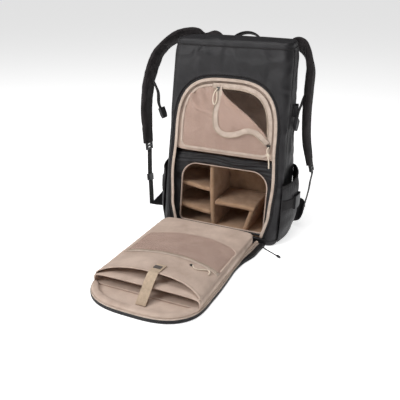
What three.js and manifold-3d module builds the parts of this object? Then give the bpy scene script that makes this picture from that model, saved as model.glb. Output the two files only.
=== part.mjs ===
// A front-opening camera backpack, standing on its base with its front panel unzipped and folded
// down onto the floor. Millimetres, +Z up, +Y towards the wearer's back, and the origin at the
// centre of the base on the floor. The front face leans back as it rises.
import * as THREE from "three";
import { mergeVertices } from "three/addons/utils/BufferGeometryUtils.js";
import Module from "manifold-3d";

const wasm = await Module();
wasm.setup();

// Driving sizes
const GAP = 0.3; // between pieces that touch
const PACK = {
  height: 510,
  halfWidth: 165,
  depth: 180, // at the base
  lean: THREE.MathUtils.degToRad(8.9), // of the front face
  backTaper: 10, // how much narrower each side is at the back
  frontCorner: 22,
  backCorner: 34,
  edge: 8, // rounding along the base and the top
  wall: 3,
};
// Half widths of the pack: share of the height, share of the half width.
const PACK_WIDTHS = [
  [0, 1.0],
  [0.1, 1.02],
  [0.3, 1.01],
  [0.6, 0.99],
  [0.9, 0.98],
  [1, 0.96],
];
const SEAM = { low: 16, topDrop: 16, cornerDepth: 24, backHalf: 116 };

const ARCH = { length: 430, half: 150, exponent: 3 };
// Half widths of the arched opening: share of its length, share of its half width.
const OPENING_WIDTHS = [
  [0, 0.9],
  [0.2, 1.01],
  [0.38, 1.04],
  [0.6, 1],
];
// Half widths of the folded-down front panel, widest beside the pack's base.
const PANEL_WIDTHS = [
  [0, 1.06],
  [0.12, 1.04],
  [0.28, 0.97],
  [0.6, 1],
];
const ZIP = { width: 7, thick: 2 };
const BINDING = { width: 8, thick: 2.5 };

const LINER = { wall: 1.8, recess: 8, low: 218, topDrop: 18, edge: 10 };
const MESH = {
  inset: 23, // from the arch
  foot: 232, // its lower edge, along the face
  thick: 1.2,
  crown: 12,
  lap: 5, // over the liner's window
  piping: 7,
  pipingThick: 3,
};
// The mesh cover's turned-back corner: the fold that it hangs from, and its zipped edge, which
// hangs in an S. Share of the arch's half width and of its length.
const FOLD = [
  [-0.14, 0.947],
  [-0.02, 0.885],
  [0.24, 0.822],
  [0.43, 0.776],
  [0.6, 0.727],
  [0.75, 0.672],
  [0.82, 0.614],
];
const FLAP_EDGE = [
  [-0.14, 0.947],
  [-0.115, 0.874],
  [-0.155, 0.805],
  [-0.16, 0.744],
  [-0.12, 0.686],
  [0.02, 0.653],
  [0.22, 0.66],
  [0.4, 0.686],
  [0.56, 0.686],
  [0.69, 0.655],
  [0.82, 0.614],
];
const FLAP = { tape: 14, tapeThick: 1.6 };

const POD = {
  low: 4,
  top: 208,
  wall: 5,
  recess: 20, // of its black front frame behind the face
  frameThick: 4,
  frameTop: 213,
  windowHalf: 124,
  windowLow: 14,
  windowTop: 190,
  windowCorner: 45,
  backSpace: 4,
};
const DIVIDER = { thick: 14, setBack: 7, clear: 0.4 };
const MAIN_DIVIDER = { x: -35.5, tilt: THREE.MathUtils.degToRad(5) };
// Cross dividers: height as a share of the pod's height. The left ones fall towards the main one.
const LEFT_SHELVES = { shares: [0.205, 0.539], middle: -86, fall: 0.12 };
const RIGHT_SHELF = 0.342;
// The leg under the right shelf's free end.
const SLANT = { x: 88.5, tilt: THREE.MathUtils.degToRad(-13) };

// The panel lies a little to the left of the pack's middle.
const PANEL = { length: 424, shell: 8, edge: 2, hinge: 0.4, shift: -18 };
const HINGE = { half: 124, thick: 2, onPanel: 24, bend: 9 };
const RIM = { inset: 4, width: 16, height: 13, edge: 4 };
const LINING = { thick: 3.5 };
const SLEEVE = { centre: 3, half: 135, start: 7, end: 355, height: 28, wall: 3, corner: 32, edge: 5 };
const POCKET = {
  half: 131,
  start: 13,
  lip: 328, // at the middle of the lip
  lipSweep: 22, // how much further the lip's ends reach
  bulge: 20,
  thick: 1.6,
};
const NET_POCKET = {
  centre: 7,
  half: 121,
  start: 134,
  bow: 34,
  end: 230, // at the middle, where its zip begins
  endSweep: 16,
  thick: 1.1,
  zip: 9,
  zipThick: 2.4,
};
const TAB = { x: 9, at: 307, width: 18, length: 12, thick: 1.4 };
const STRAP_CLEAR = 0.6; // of a straight strap over the curved pocket
const CLOSURE = { width: 25, thick: 1.8, xStart: 11, xEnd: 8, start: 298, end: 391 };

const BACK_PAD = { half: 128, low: 34, topDrop: 42, thick: 13, corner: 42, groove: 26, grooveDeep: 7 };
const backPadTop = PACK.height - BACK_PAD.topDrop;

const STRAP = { width: 62, thick: 13, tip: 0.62 };
const WEBBING = { width: 25, thick: 1.8 };
const LOCK = { width: 34, length: 22, thick: 7, bar: 5 };

const SIDE_POCKET = {
  front: -72, // y of its front end
  back: 66,
  low: 6,
  top: 186,
  topDrop: 34, // how much lower the mouth is at the front
  bulge: 27,
  thick: 1.8,
};
const SIDE_STRAP = { low: 96, width: 28, thick: 2, buckle: 7 };
const UPPER_STRAP = {
  z: PACK.height - 172,
  width: 22,
  thick: 2,
  from: 10, // y of its front end
  to: 52,
  buckle: { y: 50, length: 26, height: 30, thick: 9 },
};
// The chest strap's halves leave the shoulder pads at a share of their length. The places that
// each half passes through, from where it leaves the pad, are chosen by hand.
const CHEST_STRAP = {
  share: 0.6,
  flat: 14,
  width: 20,
  thick: 1.8,
  buckle: { width: 26, length: 30, thick: 9 },
  offsets: {
    left: [
      [12, -8, -14],
      [26, -16, -34],
      [28, -18, -62],
      [34, -18, -80],
    ],
    right: [
      [0, -20, -12],
      [0.5, -40, -22],
      [0, -58, -36],
      [0, -68, -50],
    ],
  },
};
const PULL = { width: 9, slider: 9, thick: 4 };
const WING = { low: 10, top: 74, thick: 3, bow: 10 };
const HANDLE = { half: 46, rise: 34, out: 24, foot: 8, width: 16, thick: 5, z: PACK.height - 36 };

// Materials
const cloth = (color, roughness) => new THREE.MeshStandardMaterial({ color, roughness, metalness: 0 });
const MATERIAL = {
  nylon: cloth(0x2b2a2e, 0.85),
  webbing: cloth(0x1c1b1d, 0.8),
  padding: cloth(0x242326, 0.95),
  lining: cloth(0xbfa78f, 0.9),
  binding: cloth(0xcdb8a2, 0.85),
  net: cloth(0xa8917f, 0.9),
  foam: cloth(0xb08f68, 0.95),
  hook: cloth(0xc2ab84, 0.9),
  plastic: new THREE.MeshStandardMaterial({ color: 0x151517, roughness: 0.45, metalness: 0 }),
  slider: new THREE.MeshStandardMaterial({ color: 0x3a3836, roughness: 0.35, metalness: 0.7 }),
};

// Numbers and curves

/** The value at share t of a table of [share, value] rows, read along straight lines. */
function tableAt(rows, t) {
  const upper = rows.findIndex(([share]) => share >= t);
  if (upper <= 0) return rows[upper === 0 ? 0 : rows.length - 1][1];
  const [t0, v0] = rows[upper - 1];
  const [t1, v1] = rows[upper];
  return THREE.MathUtils.lerp(v0, v1, (t - t0) / (t1 - t0));
}

/** Even numbers from a to b, count of them. */
const steps = (a, b, count) => Array.from({ length: count }, (_, k) => a + ((b - a) * k) / (count - 1));

const v2 = (x, y) => new THREE.Vector2(x, y);
const v3 = (x, y, z) => new THREE.Vector3(x, y, z);

/** Points along a smooth curve through the given points. */
const smooth = (points, count) => new THREE.CatmullRomCurve3(points, false, "centripetal").getPoints(count);

// Solids

/** A closed body from points and triangles, turned to face outwards. */
function bodyOf(points, triangles) {
  let volume = 0;
  for (const [a, b, c] of triangles) volume += points[a].dot(points[b].clone().cross(points[c]));
  const turned = volume < 0 ? triangles.map(([a, b, c]) => [a, c, b]) : triangles;
  const geometry = new THREE.BufferGeometry().setFromPoints(points);
  geometry.setIndex(turned.flat());
  return geometry;
}

/** A closed body through rings that all hold the same number of points, with fanned end caps. */
function loft(rings) {
  const n = rings[0].length;
  const points = rings.flat();
  const triangles = [];
  for (let i = 0; i + 1 < rings.length; i++)
    for (let j = 0; j < n; j++) {
      const [a, b] = [i * n + j, i * n + ((j + 1) % n)];
      triangles.push([a, b, b + n], [a, b + n, a + n]);
    }
  for (const [ring, first, flip] of [[rings[0], 0, true], [rings.at(-1), (rings.length - 1) * n, false]]) {
    const centre = ring.reduce((sum, p) => sum.add(p), v3(0, 0, 0)).divideScalar(n);
    const c = points.push(centre) - 1;
    for (let j = 0; j < n; j++) {
      const [a, b] = [first + j, first + ((j + 1) % n)];
      triangles.push(flip ? [b, a, c] : [a, b, c]);
    }
  }
  return bodyOf(points, triangles);
}

/** A wall of even thickness: a grid of points and the same grid pushed along its normals. */
function sheet(grid, thickness) {
  const [rows, cols] = [grid.length, grid[0].length];
  const clampRow = (i) => THREE.MathUtils.clamp(i, 0, rows - 1);
  const clampCol = (j) => THREE.MathUtils.clamp(j, 0, cols - 1);
  const far = grid.map((row, i) =>
    row.map((p, j) => {
      const along = grid[clampRow(i + 1)][j].clone().sub(grid[clampRow(i - 1)][j]);
      const across = row[clampCol(j + 1)].clone().sub(row[clampCol(j - 1)]);
      return p.clone().addScaledVector(along.cross(across).normalize(), thickness);
    }),
  );
  const points = [...grid.flat(), ...far.flat()];
  const size = rows * cols;
  const triangles = [];
  const quad = (a, b, c, d) => triangles.push([a, b, c], [a, c, d]);
  for (let i = 0; i + 1 < rows; i++)
    for (let j = 0; j + 1 < cols; j++) {
      const a = i * cols + j;
      quad(a, a + cols, a + cols + 1, a + 1);
      quad(size + a, size + a + 1, size + a + cols + 1, size + a + cols);
    }
  for (let i = 0; i + 1 < rows; i++)
    for (const [j, turned] of [[0, false], [cols - 1, true]]) {
      const a = i * cols + j;
      turned ? quad(a, a + cols, size + a + cols, size + a) : quad(a, size + a, size + a + cols, a + cols);
    }
  for (let j = 0; j + 1 < cols; j++)
    for (const [i, turned] of [[0, true], [rows - 1, false]]) {
      const a = i * cols + j;
      turned ? quad(a, a + 1, size + a + 1, size + a) : quad(a, size + a, size + a + 1, a + 1);
    }
  return bodyOf(points, triangles);
}

/** A flat outline of 2-D points extruded from 0 to depth along +Z. */
function extruded(points, depth, holes = [], bevel = 0) {
  const shape = new THREE.Shape(points);
  shape.holes = holes.map((hole) => new THREE.Path(hole));
  return new THREE.ExtrudeGeometry(shape, {
    depth: depth - 2 * bevel,
    bevelEnabled: bevel > 0,
    bevelSize: bevel,
    bevelThickness: bevel,
    bevelOffset: -bevel,
    bevelSegments: 2,
    curveSegments: 6,
  }).translate(0, 0, bevel);
}

/** The same body as a solid that can be joined and cut. */
function solidOf(geometry) {
  const bare = geometry.index ? geometry.toNonIndexed() : geometry.clone();
  bare.deleteAttribute("normal");
  bare.deleteAttribute("uv");
  const merged = mergeVertices(bare, 1e-4);
  return new wasm.Manifold(
    new wasm.Mesh({
      numProp: 3,
      vertProperties: new Float32Array(merged.attributes.position.array),
      triVerts: new Uint32Array(merged.index.array),
    }),
  );
}

/** Back from a solid to a three.js geometry. */
function geometryOf(solid) {
  const mesh = solid.getMesh();
  const count = mesh.numVert;
  const positions = new Float32Array(count * 3);
  for (let i = 0; i < count; i++)
    positions.set(mesh.vertProperties.subarray(i * mesh.numProp, i * mesh.numProp + 3), i * 3);
  const geometry = new THREE.BufferGeometry();
  geometry.setAttribute("position", new THREE.BufferAttribute(positions, 3));
  geometry.setIndex(new THREE.BufferAttribute(new Uint32Array(mesh.triVerts), 1));
  return geometry;
}

const minus = (body, ...cutters) =>
  geometryOf(cutters.reduce((left, cutter) => left.subtract(solidOf(cutter)), solidOf(body)));
const common = (body, ...others) =>
  geometryOf(others.reduce((left, other) => left.intersect(solidOf(other)), solidOf(body)));

/** A block between two corners. */
const block = (low, high) =>
  new THREE.BoxGeometry(...high.map((h, k) => h - low[k])).translate(
    ...high.map((h, k) => (h + low[k]) / 2),
  );

const model = new THREE.Group();

/** Adds one named piece, with its own copy of a material, to a group. */
function add(group, name, geometry, material) {
  const mesh = new THREE.Mesh(geometry, material.clone());
  mesh.name = name;
  group.add(mesh);
  return mesh;
}

// The leaning front face

// On the face, x runs across, y inwards from its surface and z up along it.
const face = new THREE.Group();
face.position.y = -PACK.depth / 2;
face.rotation.x = -PACK.lean;
face.updateMatrixWorld();
model.add(face);

const frontY = (z) => -PACK.depth / 2 + z * Math.tan(PACK.lean);

/** An outline on the face, extruded from depth y0 to y1 behind its surface. */
const onFace = (points, y0, y1, holes = []) =>
  extruded(points, y1 - y0, holes).rotateX(Math.PI / 2).translate(0, y1, 0);
const toWorld = (geometry) => geometry.clone().applyMatrix4(face.matrixWorld);

/** The arched outline drawn in by inset: straight foot, curved sides and a rounded top. */
function arch(widths, length, inset = 0, topPoints = 9) {
  const half = (t) => ARCH.half * tableAt(widths, t) - inset;
  const shoulder = widths.at(-1)[0];
  const rise = length * (1 - shoulder) - inset;
  const side = steps(0, shoulder, 7).slice(0, -1);
  const right = side.map((t, k) => v2(half(t), k === 0 ? inset : length * t));
  for (const a of steps(0, Math.PI / 2, topPoints))
    right.push(
      v2(
        half(shoulder) * Math.cos(a) ** (2 / ARCH.exponent),
        length * shoulder + rise * Math.sin(a) ** (2 / ARCH.exponent),
      ),
    );
  right.at(-1).x = 0;
  const left = right.slice(0, -1).reverse().map((p) => v2(-p.x, p.y));
  return [...right, ...left];
}

/** A 2-D line moved sideways by a distance, to its left where that is positive. */
function beside(line, distance) {
  return line.map((p, k) => {
    const along = line[Math.min(k + 1, line.length - 1)].clone().sub(line[Math.max(k - 1, 0)]);
    return p.clone().add(v2(-along.y, along.x).setLength(distance));
  });
}

/** The outline between a 2-D line moved sideways by d0 and by d1. */
const strip = (line, d0, d1) => [...beside(line, d0), ...beside(line, d1).reverse()];

/** A strip of even width along the middle of a 2-D line, as an outline. */
const band = (line, width) => strip(line, -width / 2, width / 2);

// The pack's outer shell

/** The side wall's distance from the middle at a depth y and a height z. */
function wallX(y, z) {
  const share = (y - frontY(z)) / (PACK.depth / 2 - frontY(z));
  return PACK.halfWidth * tableAt(PACK_WIDTHS, z / PACK.height) - PACK.backTaper * share;
}

/** The pack's outline at a height, drawn in by inset all round and by frontInset at the front. */
function packRing(z, inset, frontInset = inset) {
  const [front, back] = [frontY(z) + frontInset / Math.cos(PACK.lean), PACK.depth / 2 - inset];
  const rf = Math.max(PACK.frontCorner - Math.max(inset, 0), 4);
  const rb = Math.max(PACK.backCorner - Math.max(inset, 0), 4);
  const frontX = wallX(front + rf, z) - inset - rf;
  const backX = wallX(back - rb, z) - inset - rb;
  const corners = [
    [frontX, front + rf, rf, -90],
    [backX, back - rb, rb, 0],
    [-backX, back - rb, rb, 90],
    [-frontX, front + rf, rf, 180],
  ];
  return corners.flatMap(([x, y, r, start]) =>
    steps(start, start + 90, 6).map((degrees) => {
      const a = THREE.MathUtils.degToRad(degrees);
      return v3(x + r * Math.cos(a), y + r * Math.sin(a), z);
    }),
  );
}

/** A closed soft box inside the pack's outline from one height to another, its edges rounded. */
function softBox(low, top, inset, edge, frontInset = inset) {
  const rounding = steps(0, Math.PI / 2, 4);
  const heights = [
    ...rounding.map((a) => [low + edge * (1 - Math.cos(a)), edge * (1 - Math.sin(a))]),
    ...PACK_WIDTHS.map(([share]) => [share * PACK.height, 0]).filter(
      ([z]) => z > low + edge && z < top - edge,
    ),
    ...rounding.map((a) => [top - edge * (1 - Math.sin(a)), edge * (1 - Math.cos(a))]),
  ];
  return loft(heights.map(([z, more]) => packRing(z, inset + more, frontInset + more)));
}

const far = 400; // past every face, for cutting
const shellTop = PACK.height - SEAM.topDrop;

/** The whole nylon shell, then its cut panels, which meet at the seams. */
function buildShell() {
  const whole = minus(
    softBox(0, PACK.height, 0, PACK.edge),
    softBox(PACK.wall, PACK.height - PACK.wall, PACK.wall, PACK.edge),
  );
  const outline = arch(OPENING_WIDTHS, ARCH.length);
  const opening = toWorld(onFace(outline, -far, SEAM.cornerDepth + PACK.wall));
  const frontSlab = (grow) =>
    toWorld(block([-far, -far, -far], [far, SEAM.cornerDepth + grow, 2 * far]));
  const backSlab = (grow) =>
    block([-SEAM.backHalf - grow, PACK.depth / 4, -far], [SEAM.backHalf + grow, far, 2 * far]);
  const below = (z) => block([-far, -far, -far], [far, far, z]);
  const above = (z) => block([-far, -far, z], [far, far, 2 * far]);
  const middle = minus(whole, below(SEAM.low + GAP), above(shellTop - GAP));
  const sides = minus(middle, frontSlab(GAP), backSlab(GAP));
  const half = (sign) => block([sign < 0 ? -far : 0, -far, -far], [sign < 0 ? 0 : far, far, 2 * far]);
  add(model, "base_panel", common(whole, below(SEAM.low)), MATERIAL.nylon);
  add(model, "top_panel", common(whole, above(shellTop)), MATERIAL.nylon);
  add(model, "front_frame", minus(common(middle, frontSlab(0)), opening), MATERIAL.nylon);
  add(model, "back_wall", common(middle, backSlab(0)), MATERIAL.nylon);
  add(model, "side_wall_left", common(sides, half(-1)), MATERIAL.nylon);
  add(model, "side_wall_right", common(sides, half(1)), MATERIAL.nylon);
}

/** The zip tape and the pale binding that run round the opening, one inside the other. */
function buildOpeningTrim() {
  const foot = SEAM.low + 2;
  const line = arch(OPENING_WIDTHS, ARCH.length).map((p) => v2(p.x, Math.max(p.y, foot)));
  const [zipIn, bindingIn] = [GAP + ZIP.width, 2 * GAP + ZIP.width + BINDING.width];
  const zip = onFace(strip(line, GAP, zipIn), 0.5, 0.5 + ZIP.thick);
  const binding = onFace(strip(line, zipIn + GAP, bindingIn), 0.5, 0.5 + BINDING.thick);
  add(face, "opening_zip", zip, MATERIAL.webbing);
  add(face, "opening_binding", binding, MATERIAL.binding);
}

// The upper compartment

const meshArch = () => {
  const points = arch(OPENING_WIDTHS, ARCH.length, MESH.inset);
  const above = points.filter((p) => p.y > MESH.foot + 20);
  const halfFoot = ARCH.half - MESH.inset;
  const corner = 18;
  const foot = [
    v2(-halfFoot, MESH.foot + corner),
    v2(-halfFoot + corner * 0.3, MESH.foot + corner * 0.3),
    v2(-halfFoot + corner, MESH.foot),
  ];
  const right = above.filter((p) => p.x >= 0);
  const left = above.filter((p) => p.x < 0);
  return [...foot, ...foot.slice().reverse().map((p) => v2(-p.x, p.y)), ...right, ...left];
};

/** How far the mesh cover stands forward of its edges at a point of the face. */
const crown = (x, z) => {
  const across = 1 - Math.min(1, Math.abs(x) / (ARCH.half - MESH.inset)) ** 2.4;
  const middle = (MESH.foot + ARCH.length) / 2;
  const up = 1 - Math.min(1, Math.abs(z - middle) / ((ARCH.length - MESH.foot) / 2)) ** 2.4;
  return MESH.crown * across * up;
};

/** A thin layer that follows the crowned mesh, its back standing `lift` forward of the liner. */
function crownedLayer(lift, thick) {
  const grid = steps(MESH.foot - 8, ARCH.length - 4, 12).map((z) =>
    steps(-ARCH.half, ARCH.half, 15).map((x) => v3(x, LINER.recess - GAP - lift - crown(x, z), z)),
  );
  const first = sheet(grid, thick);
  first.computeBoundingBox();
  const forward = first.boundingBox.max.y <= LINER.recess - GAP - lift + 1e-3;
  return forward ? first : sheet(grid.map((row) => row.slice().reverse()), thick);
}

/** A smooth line on the face through points given as shares of the arch. */
const faceLine = (rows, count) =>
  smooth(rows.map(([x, z]) => v3(x * ARCH.half, z * ARCH.length, 0)), count).map((p) => v2(p.x, p.y));

function buildUpperCompartment() {
  const top = PACK.height - LINER.topDrop;
  const inset = PACK.wall + 0.6;
  const window = toWorld(onFace(shrink(meshArch(), MESH.lap), -far, LINER.recess + 12));
  const liner = minus(
    softBox(LINER.low, top, inset, LINER.edge, LINER.recess),
    softBox(
      LINER.low + LINER.wall,
      top - LINER.wall,
      inset + LINER.wall,
      LINER.edge - LINER.wall,
      LINER.recess + LINER.wall,
    ),
    window,
  );
  add(model, "upper_liner", liner, MATERIAL.lining);

  const outline = meshArch();
  const fold = faceLine(FOLD, 16);
  const edge = faceLine(FLAP_EDGE, 26);
  const [foldTop, foldFoot] = [fold[0], fold.at(-1)];
  const beyond = 2 * ARCH.half;
  const above = far + ARCH.length;
  const openCorner = [...fold, v2(beyond, foldFoot.y), v2(beyond, above), v2(foldTop.x, above)];
  const cover = common(crownedLayer(0, MESH.thick), onFace(outline, -far, far));
  add(face, "mesh_cover", minus(cover, onFace(openCorner, -far, far)), MATERIAL.net);
  const flapLift = MESH.thick + GAP;
  const flapOutline = [...edge, ...fold.slice(1, -1).reverse()];
  const flap = common(crownedLayer(flapLift, MESH.thick), onFace(flapOutline, -far, far));
  add(face, "mesh_flap", flap, MATERIAL.net);

  // The seam piping runs round the part of the mesh that is still closed.
  const rim = shrink(outline, MESH.piping / 2);
  const loop = [...rim, ...rim.slice(0, 2)];
  const start = loop.findIndex((p) => p.x > 0 && p.y > foldFoot.y);
  const stop = loop.findIndex((p) => p.x < foldTop.x - MESH.piping && p.y > foldTop.y - 60);
  const closed = [...rim.slice(stop), ...rim.slice(0, start)];
  const piping = common(
    crownedLayer(MESH.thick + GAP, MESH.pipingThick),
    onFace(band(closed, MESH.piping), -far, far),
  );
  add(face, "mesh_piping", piping, MATERIAL.binding);

  // The two halves of the parted zip: one on the liner, one on the flap's hanging edge.
  const parted = loop.slice(start + 1, stop - 1);
  const linerTape = onFace(
    band(parted, FLAP.tape),
    LINER.recess - GAP - FLAP.tapeThick,
    LINER.recess - GAP,
  );
  add(face, "liner_zip_tape", linerTape, MATERIAL.binding);
  const flapTape = common(
    crownedLayer(flapLift + MESH.thick + GAP, FLAP.tapeThick),
    onFace(band(edge.slice(1, -1), FLAP.tape), -far, far),
  );
  add(face, "flap_zip_tape", flapTape, MATERIAL.binding);
}

/** An outline drawn in by a distance, each point moved along the mean of its two edge normals. */
function shrink(points, inset) {
  const n = points.length;
  const turn = Math.sign(THREE.ShapeUtils.area(points));
  return points.map((p, k) => {
    const along = points[(k + 1) % n].clone().sub(points[(k + n - 1) % n]);
    const inward = v2(-along.y, along.x).normalize().multiplyScalar(turn * inset);
    return p.clone().add(inward);
  });
}

// The padded pod

/** A rectangle with rounded top corners and small rounded foot corners. */
function podWindow(half, low, top, corner) {
  const arc = (cx, cz, r, start) =>
    steps(start, start + 90, 6).map((degrees) => {
      const a = THREE.MathUtils.degToRad(degrees);
      return v2(cx + r * Math.cos(a), cz + r * Math.sin(a));
    });
  const foot = corner / 3;
  return [
    ...arc(half - corner, top - corner, corner, 0),
    ...arc(-half + corner, top - corner, corner, 90),
    ...arc(-half + foot, low + foot, foot, 180),
    ...arc(half - foot, low + foot, foot, 270),
  ];
}

function buildPod() {
  const inset = PACK.wall + 0.6;
  const frontInset = POD.recess + POD.frameThick + GAP;
  const windowLine = podWindow(POD.windowHalf, POD.windowLow, POD.windowTop, POD.windowCorner);
  const cutWindow = toWorld(onFace(windowLine, -far, frontInset + POD.wall + 6));
  const inner = inset + POD.wall;
  const box = minus(
    softBox(POD.low, POD.top, inset, PACK.edge, frontInset),
    softBox(POD.low + POD.wall, POD.top - POD.wall, inner, PACK.edge, frontInset + POD.wall),
    cutWindow,
  );
  add(model, "pod_box", box, MATERIAL.foam);

  // The frame stays inside the shell and above its base.
  const frameHalf = PACK.halfWidth - inset - 4;
  const frameLine = podWindow(frameHalf, SEAM.low + 2, POD.frameTop, POD.windowCorner / 2);
  const frame = onFace(frameLine, POD.recess, POD.recess + POD.frameThick, [
    windowLine.map((p) => v2(p.x, Math.max(p.y, SEAM.low + 8))).reverse(),
  ]);
  add(face, "pod_frame", frame, MATERIAL.nylon);

  // Dividers stand between the pod's inner faces, a little behind its window.
  const [low, top] = [POD.low + POD.wall + DIVIDER.clear, POD.top - POD.wall - DIVIDER.clear];
  const front = (z) => frontY(z) + (frontInset + POD.wall + DIVIDER.setBack) / Math.cos(PACK.lean);
  const back = PACK.depth / 2 - inner - POD.backSpace;
  const height = top - low;
  const lean = (of, z) => of.x - Math.tan(of.tilt) * (z - low - height / 2);
  /** An upright wall: four corner columns, leaning sideways with its tilt. */
  const upright = (of, z0, z1) => {
    const h = DIVIDER.thick / 2;
    return loft(
      steps(z0, z1, 4).map((z) => {
        const x = lean(of, z);
        return [
          v3(x - h, back, z),
          v3(x - h, front(z) + h / 2, z),
          v3(x - h / 2, front(z), z),
          v3(x + h / 2, front(z), z),
          v3(x + h, front(z) + h / 2, z),
          v3(x + h, back, z),
        ];
      }),
    );
  };
  /** A shelf between two side faces: z(x) is its height where a face stands. */
  const shelf = (zAt, left, right) => {
    const h = DIVIDER.thick / 2;
    return loft(
      [left, right].map((x) => {
        const z = zAt(x(zAt(0)));
        const at = (y, up) => v3(x(z + up), y, z + up);
        return [
          at(back, -h),
          at(front(z) + h / 2, -h),
          at(front(z), -h / 2),
          at(front(z), h / 2),
          at(front(z) + h / 2, h),
          at(back, h),
        ];
      }),
    );
  };
  const clear = inner + DIVIDER.clear;
  const inside = softBox(low, top, clear, PACK.edge, frontInset + POD.wall + DIVIDER.clear);
  const wide = 1.2 * PACK.halfWidth;
  const reach = DIVIDER.thick / 2 + DIVIDER.clear;
  const rightShelfZ = low + height * RIGHT_SHELF;
  const divider = (name, body) => add(model, name, common(body, inside), MATERIAL.foam);
  divider("divider_main", upright(MAIN_DIVIDER, low, top));
  LEFT_SHELVES.shares.forEach((share, k) => {
    const z = (x) => low + height * share - LEFT_SHELVES.fall * (x - LEFT_SHELVES.middle);
    divider(`divider_left_${k + 1}`, shelf(z, () => -wide, (at) => lean(MAIN_DIVIDER, at) - reach));
  });
  const slantFace = (at) => lean(SLANT, at) + DIVIDER.thick / 2;
  const shelfStart = (at) => lean(MAIN_DIVIDER, at) + reach;
  divider("divider_right_shelf", shelf(() => rightShelfZ, shelfStart, slantFace));
  const slantTop = rightShelfZ - DIVIDER.thick / 2 - DIVIDER.clear;
  divider("divider_slanted", upright(SLANT, low, slantTop));
}

// The front panel, folded down on the floor

// On the panel, x runs across, y is minus the distance from the hinge, and z is up.
const panel = new THREE.Group();
panel.position.set(PANEL.shift, -PACK.depth / 2, 0);
model.add(panel);
const sleeveGroup = new THREE.Group();
sleeveGroup.position.x = SLEEVE.centre;
panel.add(sleeveGroup);

const onPanel = (points) => points.map((p) => v2(p.x, -p.y));
const laid = (points, z, depth, holes = [], bevel = 0) =>
  extruded(onPanel(points), depth, holes.map(onPanel), bevel).translate(0, 0, z);
const rimTop = PANEL.shell + GAP + RIM.height;
const liningTop = PANEL.shell + GAP + LINING.thick;
const sleeveTop = liningTop + GAP + SLEEVE.height;

/** Height of the slip pocket's underside above the floor, at a place on the panel. */
const pocketZ = (x, t) => {
  const swell = THREE.MathUtils.smoothstep(t, POCKET.start + 60, POCKET.lip);
  const across = Math.max(0, 1 - (x / POCKET.half) ** 2) ** 0.8;
  return sleeveTop + GAP + POCKET.bulge * swell * across;
};

/** A patch of cloth over the slip pocket's place, between two distances from the hinge. */
function pocketPatch({ half, from, to, lift = 0, thick, centre = 0, rows = 9, columns = 11 }) {
  const grid = steps(0, 1, rows).map((v) =>
    steps(-1, 1, columns).map((u) => {
      const x = centre + u * half;
      const t = THREE.MathUtils.lerp(from(x), to(x), v);
      return v3(x, -t, pocketZ(x, t) + lift);
    }),
  );
  const made = sheet(grid, thick);
  made.computeBoundingBox();
  return made.boundingBox.min.z >= sleeveTop + GAP + lift - 1e-3
    ? made
    : sheet(grid.map((row) => row.slice().reverse()), thick);
}

function sleeveOutline(half, start, end, corner) {
  const arc = (cx, from) =>
    steps(from, from + 90, 6).map((degrees) => {
      const a = THREE.MathUtils.degToRad(degrees);
      return v2(cx + corner * Math.cos(a), start + corner + corner * Math.sin(a));
    });
  return [v2(-half, end), ...arc(-half + corner, 180), ...arc(half - corner, 270), v2(half, end)];
}

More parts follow.
